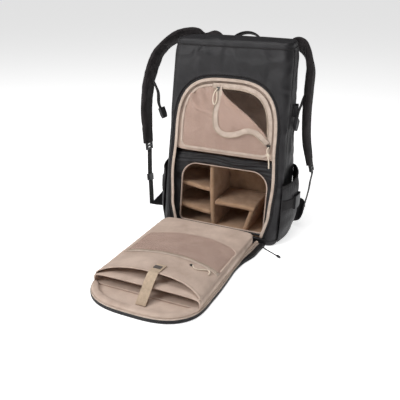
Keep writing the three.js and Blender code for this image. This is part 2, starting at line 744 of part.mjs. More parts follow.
function buildPanel() {
  const outline = (inset) => {
    const points = arch(PANEL_WIDTHS, PANEL.length, inset);
    return points.map((p) => v2(p.x, Math.max(p.y, PANEL.hinge + inset)));
  };
  add(panel, "panel_shell", laid(outline(0), 0, PANEL.shell, [], PANEL.edge), MATERIAL.nylon);
  const narrow = (inset) =>
    outline(inset).map((p) => v2(THREE.MathUtils.clamp(p.x, -ARCH.half + inset, ARCH.half - inset), p.y));
  // The hinge cloth lies on the panel and turns up in front of the pack's base.
  const onFront = (z) => v3(0, z * Math.tan(PACK.lean) - GAP, z);
  const under = PANEL.shell + GAP;
  const hingeLine = [
    v3(0, -HINGE.onPanel, under),
    v3(0, -HINGE.bend, under),
    v3(0, -HINGE.bend / 3, under + 0.6),
    onFront(SEAM.low - 3),
    onFront(SEAM.low + 1),
  ];
  const hingeEdge = (side) => smooth(hingeLine, 12).map((p) => p.clone().setX(side * HINGE.half));
  const hingeGrid = [-1, 1].map(hingeEdge);
  add(panel, "panel_hinge", sheet(hingeGrid.reverse(), -HINGE.thick), MATERIAL.nylon);
  // The rim is open beside the hinge, and the sleeve's sides stand on it.
  const rimHole = narrow(RIM.inset + RIM.width).map((p) => v2(p.x, p.y < 40 ? -far : p.y));
  const overlap = SLEEVE.half + GAP;
  const rim = minus(
    laid(narrow(RIM.inset), PANEL.shell + GAP, RIM.height, [], RIM.edge),
    laid(rimHole, 0, far),
    block([-far, -HINGE.onPanel - GAP, 0], [far, far, far]),
    block([-overlap + SLEEVE.centre, -SLEEVE.end - GAP, liningTop], [overlap + SLEEVE.centre, far, far]),
  );
  add(panel, "panel_rim", rim, MATERIAL.lining);
  const liningLine = narrow(RIM.inset + RIM.width + GAP);
  const lining = minus(
    laid(liningLine, PANEL.shell + GAP, LINING.thick),
    block([-far, -HINGE.onPanel - GAP, 0], [far, far, far]),
  );
  add(panel, "panel_lining", lining, MATERIAL.lining);

  const outer = laid(
    sleeveOutline(SLEEVE.half, SLEEVE.start, SLEEVE.end, SLEEVE.corner),
    liningTop + GAP,
    SLEEVE.height,
    [],
    SLEEVE.edge,
  );
  const within = SLEEVE.half - SLEEVE.wall;
  const hollow = laid(
    sleeveOutline(within, SLEEVE.start + SLEEVE.wall, SLEEVE.end + 20, SLEEVE.corner - SLEEVE.wall),
    liningTop + GAP + SLEEVE.wall,
    SLEEVE.height - 2 * SLEEVE.wall,
    [],
    1,
  );
  add(sleeveGroup, "panel_sleeve", minus(outer, hollow), MATERIAL.lining);

  const lip = (x) => POCKET.lip + POCKET.lipSweep * (x / POCKET.half) ** 4;
  const pocket = pocketPatch({ half: POCKET.half, from: () => POCKET.start, to: lip, thick: POCKET.thick });
  add(sleeveGroup, "slip_pocket", pocket, MATERIAL.lining);

  const { start, end, endSweep, bow, centre } = NET_POCKET;
  const sweep = (x) => ((x - centre) / NET_POCKET.half) ** 2;
  const farEdge = (x) => start - bow * (1 - sweep(x));
  const nearEdge = (x) => end + endSweep * sweep(x);
  const overPocket = POCKET.thick + 2 * GAP;
  const netTop = pocketPatch({
    half: NET_POCKET.half,
    centre,
    from: farEdge,
    to: nearEdge,
    lift: overPocket,
    thick: NET_POCKET.thick,
  });
  add(sleeveGroup, "net_pocket", netTop, MATERIAL.net);
  const netZip = pocketPatch({
    half: NET_POCKET.half,
    centre,
    from: (x) => nearEdge(x) + GAP,
    to: (x) => nearEdge(x) + GAP + NET_POCKET.zip,
    lift: overPocket,
    thick: NET_POCKET.zipThick,
    rows: 2,
  });
  add(sleeveGroup, "net_pocket_zip", netZip, MATERIAL.binding);

  // The closure strap runs from the pocket's top, over both lips, down to the lining.
  const stations = steps(0, 1, 13).map((u) => {
    const x = THREE.MathUtils.lerp(CLOSURE.xStart, CLOSURE.xEnd, u);
    const t = THREE.MathUtils.lerp(CLOSURE.start, CLOSURE.end, u);
    const overLip = pocketZ(x, Math.min(t, POCKET.lip)) + POCKET.thick + GAP;
    const past = THREE.MathUtils.clamp((t - POCKET.lip - 6) / (CLOSURE.end - POCKET.lip - 6), 0, 1);
    const z = THREE.MathUtils.lerp(overLip, liningTop + GAP, past ** 1.15);
    return steps(-1, 1, 3).map((side) => v3(x + (side * CLOSURE.width) / 2, -t, z + STRAP_CLEAR));
  });
  const strap = sheet(stations.map((row) => row.slice().reverse()), -CLOSURE.thick);
  add(sleeveGroup, "closure_strap", strap, MATERIAL.hook);

  const onStrap = POCKET.thick + CLOSURE.thick + 2 * GAP;
  const tab = pocketPatch({
    half: TAB.width / 2,
    from: () => TAB.at,
    to: () => TAB.at + TAB.length,
    lift: onStrap + 2 * STRAP_CLEAR,
    thick: TAB.thick,
    centre: TAB.x,
    rows: 3,
    columns: 3,
  });
  add(sleeveGroup, "plain_tab", tab, MATERIAL.plastic);
}

// The back pad and the harness

function buildBackPad() {
  const corner = BACK_PAD.corner;
  const outline = podWindow(BACK_PAD.half, BACK_PAD.low, backPadTop, corner);
  const pad = extruded(outline, BACK_PAD.thick, [], 3)
    .rotateX(Math.PI / 2)
    .translate(0, PACK.depth / 2 + GAP + BACK_PAD.thick, 0);
  const outer = PACK.depth / 2 + GAP + BACK_PAD.thick;
  const groove = block(
    [-BACK_PAD.groove / 2, outer - BACK_PAD.grooveDeep, BACK_PAD.low - 10],
    [BACK_PAD.groove / 2, outer + 10, backPadTop + 10],
  );
  add(model, "back_pad", minus(pad, groove), MATERIAL.padding);
}

/** A strap of rectangular section with softened edges along a line, its face along `wide`. */
function strapBody(line, wide, width, thick) {
  return loft(
    line.map((p, k) => {
      const along = line[Math.min(k + 1, line.length - 1)].clone().sub(line[Math.max(k - 1, 0)]).normalize();
      const across = wide(k / (line.length - 1)).clone();
      across.addScaledVector(along, -across.dot(along)).normalize();
      const out = along.clone().cross(across).normalize();
      const [w, t] = [width(k / (line.length - 1)) / 2, thick / 2];
      const soft = Math.min(t * 0.8, w * 0.3);
      return [
        [w, -t + soft],
        [w, t - soft],
        [w - soft, t],
        [-w + soft, t],
        [-w, t - soft],
        [-w, -t + soft],
        [-w + soft, -t],
        [w - soft, -t],
      ].map(([a, b]) => p.clone().addScaledVector(across, a).addScaledVector(out, b));
    }),
  );
}

const onBack = PACK.depth / 2 + GAP + BACK_PAD.thick + GAP; // the harness starts on the pad
// The shoulder straps' routes, chosen by hand: pad first, then webbing down to the wing.
const ROUTES = {
  left: {
    pad: [
      [-62, onBack + STRAP.thick / 2, 405],
      [-76, onBack + STRAP.thick / 2 + 3, 456],
      [-126, 121, 500],
      [-192, 100, 503],
      [-240, 62, 462],
      [-256, 32, 404],
      [-262, 15, 340],
      [-262, 8, 276],
      [-255, 2, 212],
    ],
    webbing: [
      [-250, -5, 160],
      [-246, -13, 122],
      [-239, -22, 84],
      [-231, -35, 36],
    ],
  },
  right: {
    pad: [
      [62, onBack + STRAP.thick / 2, 405],
      [76, onBack + STRAP.thick / 2 + 3, 452],
      [116, 126, 486],
      [153, 124, 482],
      [177, 108, 440],
      [181, 93, 380],
      [182, 86, 316],
      [188, 80, 252],
      [205, 73, 190],
    ],
    webbing: [
      [210, 69, 142],
      [208, 66, 116],
      [204, 63, 90],
      [199, 60, 62],
    ],
  },
};

/** The width direction of a shoulder strap: across the back at its anchor, front to back below. */
const strapAcross = (sign) => (t) =>
  v3(sign * 0.9, 0, 0.3).lerp(v3(0.05, -1, 0.1), THREE.MathUtils.smoothstep(t, 0.1, 0.5));

/** A frame with two slots, as a strap adjuster has, between two points on a strap's line. */
function ladderLock(from, to, across) {
  const along = to.clone().sub(from).normalize();
  const wide = across.clone().addScaledVector(along, -across.dot(along)).normalize();
  const out = wide.clone().cross(along).normalize();
  const { width, length, thick, bar } = LOCK;
  const rect = (x0, x1, y0, y1) => [v2(x0, y0), v2(x1, y0), v2(x1, y1), v2(x0, y1)];
  const slot = (length - 3 * bar) / 2;
  const holes = [0, 1].map((k) => {
    const low = bar + k * (slot + bar);
    return rect(-width / 2 + bar, width / 2 - bar, low, low + slot).reverse();
  });
  const frame = extruded(rect(-width / 2, width / 2, 0, length), thick, holes, 0.8);
  frame.translate(0, 0, -thick / 2);
  return frame.applyMatrix4(new THREE.Matrix4().makeBasis(wide, along, out).setPosition(from));
}

function buildHarness(side, sign) {
  const route = ROUTES[side];
  const across = strapAcross(sign);
  const padLine = smooth(route.pad.map((p) => v3(...p)), 26);
  const narrowing = (t) => THREE.MathUtils.smoothstep(t, 0.75, 1);
  const width = (t) => STRAP.width * THREE.MathUtils.lerp(1, STRAP.tip, narrowing(t));
  const padZone = block(
    [-BACK_PAD.half - GAP, 0, BACK_PAD.low],
    [BACK_PAD.half + GAP, onBack, backPadTop + GAP],
  );
  const pad = minus(strapBody(padLine, across, width, STRAP.thick), padZone);
  add(model, `shoulder_pad_${side}`, pad, MATERIAL.padding);

  const end = padLine.at(-1);
  const along = end.clone().sub(padLine.at(-2)).normalize();
  const lockFrom = end.clone().addScaledVector(along, GAP);
  const lockTo = lockFrom.clone().addScaledVector(along, LOCK.length);
  add(model, `ladder_lock_${side}`, ladderLock(lockFrom, lockTo, across(1)), MATERIAL.plastic);

  const webStart = lockTo.clone().addScaledVector(along, GAP);
  const straight = webStart.clone().addScaledVector(along, 6);
  const webLine = [webStart, ...smooth([straight, ...route.webbing.map((p) => v3(...p))], 14)];
  const web = strapBody(webLine, () => across(1), () => WEBBING.width, WEBBING.thick);
  add(model, `lower_webbing_${side}`, web, MATERIAL.webbing);

  // The wing is a sewn triangle from the pack's lower side out to the webbing's end.
  const tip = webLine.at(-1);
  const down = tip.clone().sub(webLine.at(-2)).normalize();
  const apex = tip.clone().addScaledVector(down, GAP);
  const wingAcross = across(1).clone().addScaledVector(down, -across(1).dot(down)).normalize();
  const h = WEBBING.width / 2;
  const top = [apex.clone().addScaledVector(wingAcross, h), apex.clone().addScaledVector(wingAcross, -h)];
  const out = wingAcross.clone().cross(down);
  const beyond = new THREE.BoxGeometry(3 * WEBBING.width, WEBBING.width, WEBBING.width)
    .translate(0, -WEBBING.width / 2, 0)
    .applyMatrix4(new THREE.Matrix4().makeBasis(wingAcross, down, out).setPosition(apex));
  return { top, beyond, pad: { line: padLine, across } };
}

/** The wing's four-cornered sheet, from the webbing's end to the side seam. */
function buildWing(side, sign, { top, beyond }) {
  const rootY = (share) => THREE.MathUtils.lerp(SIDE_POCKET.back + 4, SIDE_POCKET.back + 10, share);
  const wallX = (y) => {
    const share = (y + PACK.depth / 2) / PACK.depth;
    return sign * (PACK.halfWidth * tableAt(PACK_WIDTHS, 0.08) - PACK.backTaper * share + GAP + 0.6);
  };
  const root = [WING.low, WING.top].map((z, k) => v3(wallX(rootY(k)), rootY(k), z));
  const [near, farther] = top[0].y < top[1].y ? top : [top[1], top[0]];
  const grid = steps(0, 1, 6).map((u) =>
    steps(0, 1, 4).map((v) => {
      const a = root[0].clone().lerp(root[1], v);
      const b = near.clone().lerp(farther, v);
      const bow = Math.sin(Math.PI * u) * WING.bow;
      return a.lerp(b, u).add(v3(sign * bow, 0, 0));
    }),
  );
  add(model, `strap_wing_${side}`, minus(sheet(grid, sign * WING.thick), beyond), MATERIAL.webbing);
}

// Side pockets and their straps

/** A D-shaped outline against the side wall at a height, drawn in by inset. */
function pocketRing(sign, z, inset, into) {
  const { front, back, bulge, low } = SIDE_POCKET;
  const swell = bulge * (0.55 + 0.45 * THREE.MathUtils.smoothstep(z, low, low + 70));
  const shift = Math.max(0, z - 60) * Math.tan(PACK.lean);
  const [y0, y1] = [front + shift + inset, back - inset];
  const curve = steps(0, 1, 11).map((t) => {
    const y = THREE.MathUtils.lerp(y0, y1, t);
    const out = (swell - inset) * Math.sin(Math.PI * t) ** 0.6;
    return v3(sign * (wallX(y, z) + GAP + Math.max(out, 0.8)), y, z);
  });
  const root = (y) => v3(sign * (wallX(y, z) + GAP - into), y, z);
  return [...curve, root(y1), root(y0)];
}

function buildSidePocket(side, sign) {
  const { low, top, topDrop, thick, back, front } = SIDE_POCKET;
  const heights = steps(low, top, 7);
  const outer = loft(heights.map((z) => pocketRing(sign, z, 0, 0)));
  const inner = loft(
    steps(low + thick, top + 10, 7).map((z) => pocketRing(sign, z, thick, 12)),
  );
  // The mouth slopes down towards the front.
  const mouth = extruded(
    [v2(front - 40, top - topDrop), v2(back + 40, top), v2(back + 40, top + 60), v2(front - 40, top + 60)],
    2 * far,
  )
    .rotateX(Math.PI / 2)
    .rotateZ(Math.PI / 2)
    .translate(-far, 0, 0);
  add(model, `side_pocket_${side}`, minus(outer, inner, mouth), MATERIAL.nylon);

  const strapGrid = (lift, z0, z1, t0, t1, count) =>
    steps(z0, z1, 3).map((z) =>
      pocketRing(sign, z, -lift, 0)
        .slice(0, 11)
        .filter((_, k) => k >= t0 && k <= t1)
        .slice(0, count),
    );
  const turned = (grid) => (sign > 0 ? grid : grid.map((row) => row.slice().reverse()));
  const { low: z0, width, thick: t } = SIDE_STRAP;
  const strap = sheet(turned(strapGrid(GAP + 0.3, z0, z0 + width, 0, 10, 11)), -t);
  add(model, `side_strap_${side}`, strap, MATERIAL.webbing);
  const buckle = sheet(
    turned(strapGrid(2 * GAP + 0.3 + t, z0 - 3, z0 + width + 3, 3, 6, 4)),
    -SIDE_STRAP.buckle,
  );
  add(model, `side_buckle_${side}`, buckle, MATERIAL.plastic);
}

/** A buckle body with softened edges: width along `wide`, length along `along`, from a point. */
function buckleBody(from, along, wide, width, length, thick) {
  const across = wide.clone().addScaledVector(along, -wide.dot(along)).normalize();
  const out = across.clone().cross(along).normalize();
  const h = width / 2;
  const right = [v2(h, 0), v2(h, length * 0.7), v2(h * 0.7, length)];
  const outline = [v2(-h, 0), ...right, v2(-h * 0.7, length), v2(-h, length * 0.7)];
  return extruded(outline, thick, [], 1.5)
    .translate(0, 0, -thick / 2)
    .applyMatrix4(new THREE.Matrix4().makeBasis(across, along, out).setPosition(from));
}

/** One half of the chest strap: webbing that leaves the shoulder pad's inner face, and a buckle half. */
function buildChestStrap(side, pad) {
  const { share, flat, width, thick, buckle, offsets } = CHEST_STRAP;
  const k = Math.round(share * (pad.line.length - 1));
  const along = pad.line[k + 1].clone().sub(pad.line[k - 1]).normalize();
  const across = pad.across(share).clone();
  across.addScaledVector(along, -across.dot(along)).normalize();
  const out = along.clone().cross(across).normalize();
  const inward = out.x * pad.line[k].x > 0 ? out.negate() : out;
  const start = pad.line[k].clone().addScaledVector(inward, (STRAP.thick + thick) / 2 + GAP);
  const lying = start.clone().addScaledVector(along, flat);
  const hanging = offsets[side].map((offset) => lying.clone().add(v3(...offset)));
  const line = [start, ...smooth([lying, ...hanging], 12)];
  const wide = (t) => across.clone().lerp(v3(0, Math.sign(across.y), 0), Math.min(1, 2 * t));
  add(model, `chest_webbing_${side}`, strapBody(line, wide, () => width, thick), MATERIAL.webbing);
  const down = line.at(-1).clone().sub(line.at(-2)).normalize();
  const from = line.at(-1).clone().addScaledVector(down, GAP);
  const body = buckleBody(from, down, wide(1), buckle.width, buckle.length, buckle.thick);
  add(model, `chest_buckle_${side}`, body, MATERIAL.plastic);
}

/** The strap across a side wall near the top, with its buckle. */
function buildUpperStrap(side, sign) {
  const { z, width, thick, from, to, buckle } = UPPER_STRAP;
  const wall = (y, height, lift) => v3(sign * (wallX(y, height) + lift), y, height);
  const patch = (y0, y1, z0, z1, lift, deep) => {
    const grid = steps(z0, z1, 3).map((height) => steps(y0, y1, 5).map((y) => wall(y, height, lift)));
    return sheet(sign > 0 ? grid : grid.map((row) => row.slice().reverse()), -deep);
  };
  const strap = patch(from, to, z - width / 2, z + width / 2, GAP, thick);
  add(model, `upper_strap_${side}`, strap, MATERIAL.webbing);
  const tall = buckle.height / 2;
  const lift = 2 * GAP + thick;
  const body = patch(buckle.y - buckle.length, buckle.y, z - tall, z + tall, lift, buckle.thick);
  add(model, `upper_buckle_${side}`, body, MATERIAL.plastic);
}

/** A zip slider on the mesh cover with its pull hanging from it, at a place on the arch. */
function buildPull(name, [shareX, shareZ], pull) {
  const [x, z] = [shareX * ARCH.half, shareZ * ARCH.length];
  const onTapes = 2 * (MESH.thick + GAP) + FLAP.tapeThick + GAP;
  const piece = (halfTop, halfFoot, top, length, thick) => {
    const foot = top - length;
    const left = [v2(x - halfTop, top), v2(x - halfFoot, foot)];
    const outline = [...left, v2(x + halfFoot, foot), v2(x + halfTop, top)];
    return common(crownedLayer(onTapes, thick), onFace(outline, -far, far));
  };
  const h = PULL.width / 2;
  add(face, `${name}_slider`, piece(h, 0.6 * h, z, PULL.slider, PULL.thick), MATERIAL.slider);
  const tab = piece(0.6 * h, 0.8 * h, z - PULL.slider - GAP, pull, PULL.thick / 2);
  add(face, `${name}_pull`, tab, MATERIAL.binding);
}

function buildHandle() {
  const y = PACK.depth / 2 + GAP + HANDLE.thick / 2;
  const line = steps(-1, 1, 17).map((u) => {
    const rise = Math.sqrt(1 - u * u);
    return v3(u * HANDLE.half, y + HANDLE.out * rise, HANDLE.z + HANDLE.foot + HANDLE.rise * rise);
  });
  line.unshift(v3(-HANDLE.half, y, HANDLE.z));
  line.push(v3(HANDLE.half, y, HANDLE.z));
  const across = () => v3(0, 0.9, -0.5);
  const handle = strapBody(line, across, () => HANDLE.width, HANDLE.thick);
  const wall = block([-far, 0, 0], [far, PACK.depth / 2 + GAP, 2 * far]);
  const pad = block([-far, 0, 0], [far, far, backPadTop + GAP]);
  add(model, "grab_handle", minus(handle, wall, pad), MATERIAL.webbing);
}

buildShell();
buildOpeningTrim();
buildUpperCompartment();
buildPod();
buildPanel();
buildBackPad();
for (const [side, sign] of [["left", -1], ["right", 1]]) {
  const end = buildHarness(side, sign);
  buildWing(side, sign, end);
  buildChestStrap(side, end.pad);
  buildSidePocket(side, sign);
  buildUpperStrap(side, sign);
}
buildPull("upper_zip", [-0.15, 0.93], 26);
buildPull("lower_zip", [0.82, 0.62], 18);
buildHandle();

export default model;
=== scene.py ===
"""A front-opening camera backpack on a pale studio floor: its cloth, net, foam, webbing and moulded
pieces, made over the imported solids. Metres, +Z up, +Y towards the wearer's back, and the origin at
the centre of the pack's base. Distances on the opened front panel are measured from its hinge."""
import math

import bpy
import numpy as np
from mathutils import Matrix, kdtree


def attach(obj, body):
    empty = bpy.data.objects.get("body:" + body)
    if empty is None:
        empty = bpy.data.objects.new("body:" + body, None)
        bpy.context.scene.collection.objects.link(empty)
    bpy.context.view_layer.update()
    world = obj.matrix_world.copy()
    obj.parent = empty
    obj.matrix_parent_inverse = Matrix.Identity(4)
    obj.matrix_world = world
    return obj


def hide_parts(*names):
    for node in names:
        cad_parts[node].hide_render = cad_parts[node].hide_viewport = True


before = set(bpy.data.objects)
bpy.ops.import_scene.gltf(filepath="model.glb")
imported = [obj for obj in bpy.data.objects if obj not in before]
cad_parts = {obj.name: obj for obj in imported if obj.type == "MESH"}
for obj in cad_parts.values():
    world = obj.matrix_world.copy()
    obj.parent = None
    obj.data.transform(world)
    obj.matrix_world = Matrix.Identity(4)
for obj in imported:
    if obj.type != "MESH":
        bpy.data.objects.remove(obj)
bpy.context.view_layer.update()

MM = 0.001
GAP = 0.3 * MM  # between layers that are sewn together
SIDES = (("left", -1), ("right", 1))

# ---------------------------------------------------------------- sizes, as the solids have them
HEIGHT = 510 * MM
HALF_WIDTH = 165 * MM
DEPTH = 180 * MM
LEAN = math.radians(8.9)  # of the front face
TAPER = 10 * MM  # how much narrower each side is at the back
FRONT_ROUND = 22 * MM
BACK_ROUND = 34 * MM
EDGE_ROUND = 8 * MM  # along the base and the top
WALL = 3 * MM
BODY_WIDTHS = ((0, 1.0), (0.1, 1.02), (0.3, 1.01), (0.6, 0.99), (0.9, 0.98), (1, 0.96))
BASE_SEAM = 16 * MM
TOP_SEAM = HEIGHT - 16 * MM
BACK_SEAM = 116 * MM  # from the middle of the back

ARCH_LENGTH = 430 * MM
ARCH_HALF = 150 * MM
ARCH_POWER = 3.0
ARCH_SHOULDER = 0.6  # share of the length where the rounded end begins
OPENING_WIDTHS = ((0, 0.9), (0.2, 1.01), (0.38, 1.04), (0.6, 1.0))
PANEL_WIDTHS = ((0, 1.06), (0.12, 1.04), (0.28, 0.97), (0.6, 1.0))
PANEL_LENGTH = 424 * MM
PANEL_SHIFT = -18 * MM  # to the left of the pack's middle
ZIP_WIDTH = 7 * MM
BINDING_WIDTH = 8 * MM

INSIDE = WALL + 0.8 * MM  # of the shell's sides
LINER_DEPTH = 8 * MM  # of the upper space's front behind the face
LINER_LOW, LINER_TOP = 218 * MM, HEIGHT - 18 * MM
MESH_INSET = 23 * MM
MESH_FOOT = 232 * MM
MESH_CROWN = 12 * MM
# The net's fold and free edge, in shares of the opening's half width and of its length.
FOLD = ((-0.14, 0.947), (-0.02, 0.885), (0.24, 0.822), (0.43, 0.776), (0.6, 0.727), (0.75, 0.672), (0.82, 0.614))
FLAP_EDGE = (
    (-0.14, 0.947), (-0.115, 0.874), (-0.155, 0.805), (-0.16, 0.744), (-0.12, 0.686), (0.02, 0.653),
    (0.22, 0.66), (0.4, 0.686), (0.56, 0.686), (0.69, 0.655), (0.82, 0.614),
)
FLAP_TAPE = 14 * MM
NET_THICK = 0.9 * MM
PIPING = 6 * MM

POD_FLOOR, POD_CEILING = 4 * MM, 208 * MM
POD_WALL = 5 * MM
POD_DEPTH = 20 * MM
POD_FRAME_TOP = 213 * MM
WINDOW_TOP, WINDOW_CORNER = 190 * MM, 45 * MM
WINDOW = (124 * MM, 24 * MM, WINDOW_TOP, WINDOW_CORNER, 12 * MM)  # half width, foot, top, corners
DIVIDER = 14 * MM
MAIN_DIVIDER_X, MAIN_DIVIDER_TILT = -35.5 * MM, math.radians(5)
LEFT_SHELVES, LEFT_MIDDLE, LEFT_FALL = (0.205, 0.539), -86 * MM, 0.12
RIGHT_SHELF = 0.342
SLANT_X, SLANT_TILT = 88.5 * MM, math.radians(-13)

HINGE_HALF = 124 * MM
SHELL_THICK = 8 * MM
RIM_INSET, RIM_WIDTH, RIM_HEIGHT = 4 * MM, 16 * MM, 13 * MM
LINING_TOP = SHELL_THICK + GAP + 3.5 * MM
SLEEVE_CENTRE = 3 * MM  # to the right of the panel's middle
SLEEVE_HALF, SLEEVE_START, SLEEVE_END = 135 * MM, 7 * MM, 355 * MM
SLEEVE_HEIGHT, SLEEVE_CORNER = 28 * MM, 32 * MM
POCKET_HALF, POCKET_START, POCKET_LIP = 131 * MM, 13 * MM, 328 * MM
POCKET_SWEEP, POCKET_BULGE = 22 * MM, 20 * MM
NET_CENTRE, NET_HALF, NET_START, NET_END = 7 * MM, 121 * MM, 134 * MM, 230 * MM
NET_BOW, NET_SWEEP = 34 * MM, 16 * MM
CLOSURE_WIDTH, CLOSURE_START, CLOSURE_END = 25 * MM, 298 * MM, 391 * MM
CLOSURE_LEFT, CLOSURE_RIGHT = 8 * MM, 11 * MM  # its foot and its start from the sleeve's middle

PAD_BACK = DEPTH / 2 + GAP + 13 * MM
PAD_LOW, PAD_TOP, PAD_HALF, PAD_CORNER = 34 * MM, HEIGHT - 42 * MM, 128 * MM, 42 * MM
HANDLE_FOOT, HANDLE_HALF = HEIGHT - 36 * MM, 46 * MM
SIDE_POCKET_FRONT, SIDE_POCKET_BACK = -72 * MM, 66 * MM
STRAP_WIDTH, STRAP_THICK = 62 * MM, 13 * MM
WEBBING_WIDTH = 25 * MM


# ---------------------------------------------------------------- numbers and lines
def blend(a, b, t):
    """a + (b - a) t."""
    return a + (b - a) * t


def rise(a, b, t):
    """0 before a, 1 after b, and the smooth cubic 3 u^2 - 2 u^3 between."""
    u = np.clip((t - a) / (b - a), 0, 1)
    return u * u * (3 - 2 * u)


def eased(rows, t):
    """A table of (share, value), read with the smooth cubic between its rows."""
    shares, values = np.array(rows, float).T
    k = np.clip(np.searchsorted(shares, t, side="right") - 1, 0, len(shares) - 2)
    u = np.clip((t - shares[k]) / (shares[k + 1] - shares[k]), 0, 1)
    return blend(values[k], values[k + 1], u * u * (3 - 2 * u))


def creases(u, v, size, seed, stretch=1.0, octaves=3):
    """Soft cloth creases, about -1 to 1: a sum of sine waves sin(k (u cos w + v sin w) + p), four
    to an octave, each octave half as long and half as high, directions w and phases p by a seed."""
    chance = np.random.default_rng(seed)
    total = 0.0
    for octave in range(octaves):
        for _ in range(4):
            turn, phase, pace = chance.uniform(0, np.pi), chance.uniform(0, 2 * np.pi), chance.uniform(0.7, 1.3)
            wave = 2 * np.pi * pace * 2**octave / size
            total = total + np.sin(wave * (u * np.cos(turn) + v * stretch * np.sin(turn)) + phase) / 2**octave
    return total / 5.0


def ridges(u, v, size, seed, stretch=1.0):
    """Crisp creases, -1 to 1: 1 - 2 |c|^0.7 of the soft ones, sharp where those cross 0."""
    return 1 - 2 * np.clip(np.abs(creases(u, v, size, seed, stretch, 2)) * 1.3, 0, 1) ** 0.7


def even(points, count, closed=False):
    """The same line with count points spaced evenly along its length."""
    points = np.asarray(points, float)
    if closed:
        points = np.vstack([points, points[:1]])
    along = np.concatenate([[0], np.cumsum(np.linalg.norm(np.diff(points, axis=0), axis=1))])
    marks = np.linspace(0, along[-1], count + 1 if closed else count)
    marks = marks[:-1] if closed else marks
    return np.stack([np.interp(marks, along, column) for column in points.T], axis=1)


def curve(points, count):
    """A smooth line through the points: Catmull-Rom cubics, then even spacing."""
    p = np.asarray(points, float)
    p = np.vstack([2 * p[0] - p[1], p, 2 * p[-1] - p[-2]])
    t = np.linspace(0, len(p) - 3 - 1e-9, 12 * count)
    k = t.astype(int)
    u = (t - k)[:, None]
    a, b, c, d = p[k], p[k + 1], p[k + 2], p[k + 3]
    line = 0.5 * (2 * b + (c - a) * u + (2 * a - 5 * b + 4 * c - d) * u**2 + (3 * b - a - 3 * c + d) * u**3)
    return even(line, count)


def beside(line, distance):
    """A flat line moved to its left by a distance along its normals."""
    along = np.gradient(line, axis=0)
    normal = np.stack([-along[:, 1], along[:, 0]], axis=1)
    return line + normal / np.linalg.norm(normal, axis=1, keepdims=True) * distance


def xyz(x, y, z):
    """Points from three arrays of any matching shapes."""
    return np.stack(np.broadcast_arrays(np.asarray(x, float), y, z), axis=-1)


def unit(vectors):
    """The same directions with length 1."""
    return vectors / np.maximum(np.linalg.norm(vectors, axis=-1, keepdims=True), 1e-12)


# ---------------------------------------------------------------- the pack's own surfaces
def front_y(z):
    """Where the leaning front face is at a height z: z tan(lean) behind its foot."""
    return -DEPTH / 2 + z * math.tan(LEAN)


def half_at(y, z):
    """The side's distance from the middle: the width table, less the taper towards the back."""
    share = (y - front_y(z)) / (DEPTH / 2 - front_y(z))
    return HALF_WIDTH * eased(BODY_WIDTHS, z / HEIGHT) - TAPER * share


def marks(z):
    """Arc lengths from the front's middle to the ends of front, corner, side, corner and back."""
    y = front_y(z)
    front = half_at(y + FRONT_ROUND, z) - FRONT_ROUND
    back = half_at(DEPTH / 2 - BACK_ROUND, z) - BACK_ROUND
    side = np.hypot(front + FRONT_ROUND - back - BACK_ROUND, DEPTH / 2 - BACK_ROUND - y - FRONT_ROUND)
    c1 = front
    c2 = c1 + FRONT_ROUND * np.pi / 2
    c3 = c2 + side
    c4 = c3 + BACK_ROUND * np.pi / 2
    return c1, c2, c3, c4, c4 + back


def front_seam(z):
    """Arc length of the seam between the front and a side, 2 mm past the front's rounding."""
    return marks(z)[1] + 2 * MM


def back_seam(z):
    """Arc length of the seam between a side and the back."""
    return marks(z)[4] - BACK_SEAM


def skin(a, z, lift=0.0):
    """The shell's surface at an arc length a from the front's middle and a height z, lifted along
    its outward normal: a straight front, a quarter circle, a straight side, a quarter circle and a
    straight back, mirrored for a below 0."""
    a, z, lift = np.broadcast_arrays(np.asarray(a, float), np.asarray(z, float), lift)
    s, side_of = np.abs(a), np.where(a < 0, -1.0, 1.0)
    c1, c2, c3, c4, _ = marks(z)
    y0 = front_y(z)
    back = half_at(DEPTH / 2 - BACK_ROUND, z) - BACK_ROUND
    first = np.clip((s - c1) / FRONT_ROUND, 0, np.pi / 2)
    flank = np.clip((s - c2) / (c3 - c2), 0, 1)
    second = np.clip((s - c3) / BACK_ROUND, 0, np.pi / 2)
    x = np.minimum(s, c1) + FRONT_ROUND * np.sin(first) + (back + BACK_ROUND - c1 - FRONT_ROUND) * flank
    x = x - BACK_ROUND * (1 - np.cos(second)) - np.clip(s - c4, 0, None)
    y = y0 + FRONT_ROUND * (1 - np.cos(first)) + (DEPTH / 2 - BACK_ROUND - y0 - FRONT_ROUND) * flank
    y = y + BACK_ROUND * np.sin(second)
    turn = first + second
    nx, ny = np.sin(turn) * side_of, -np.cos(turn)
    nz = math.sin(LEAN) * np.clip(np.cos(turn), 0, None)
    return np.stack([x * side_of + nx * lift, y + ny * lift, z + nz * lift], axis=-1)


def arc_of(x, z):
    """The arc length at which the shell's front or front corner lies a distance x from the middle."""
    c1 = marks(z)[0]
    s = np.abs(x)
    bend = np.arcsin(np.clip((s - c1) / FRONT_ROUND, 0, 1))
    return np.sign(x) * (np.minimum(s, c1) + FRONT_ROUND * bend)


def on_face(x, depth, s):
    """A point x across, s up the leaning face and depth behind it."""
    x, depth, s = np.broadcast_arrays(np.asarray(x, float), depth, s)
    y = -DEPTH / 2 + depth * math.cos(LEAN) + s * math.sin(LEAN)
    return np.stack([x, y, s * math.cos(LEAN) - depth * math.sin(LEAN)], axis=-1)


def on_panel(x, t, z):
    """A point x from the opened panel's middle, t from its hinge and z above the floor."""
    return xyz(np.asarray(x, float) + PANEL_SHIFT, -DEPTH / 2 - np.asarray(t, float), z)


def on_sleeve(x, t, z):
    """A point x from the sleeve's middle, t from the hinge and z above the floor."""
    return on_panel(np.asarray(x, float) + SLEEVE_CENTRE, t, z)


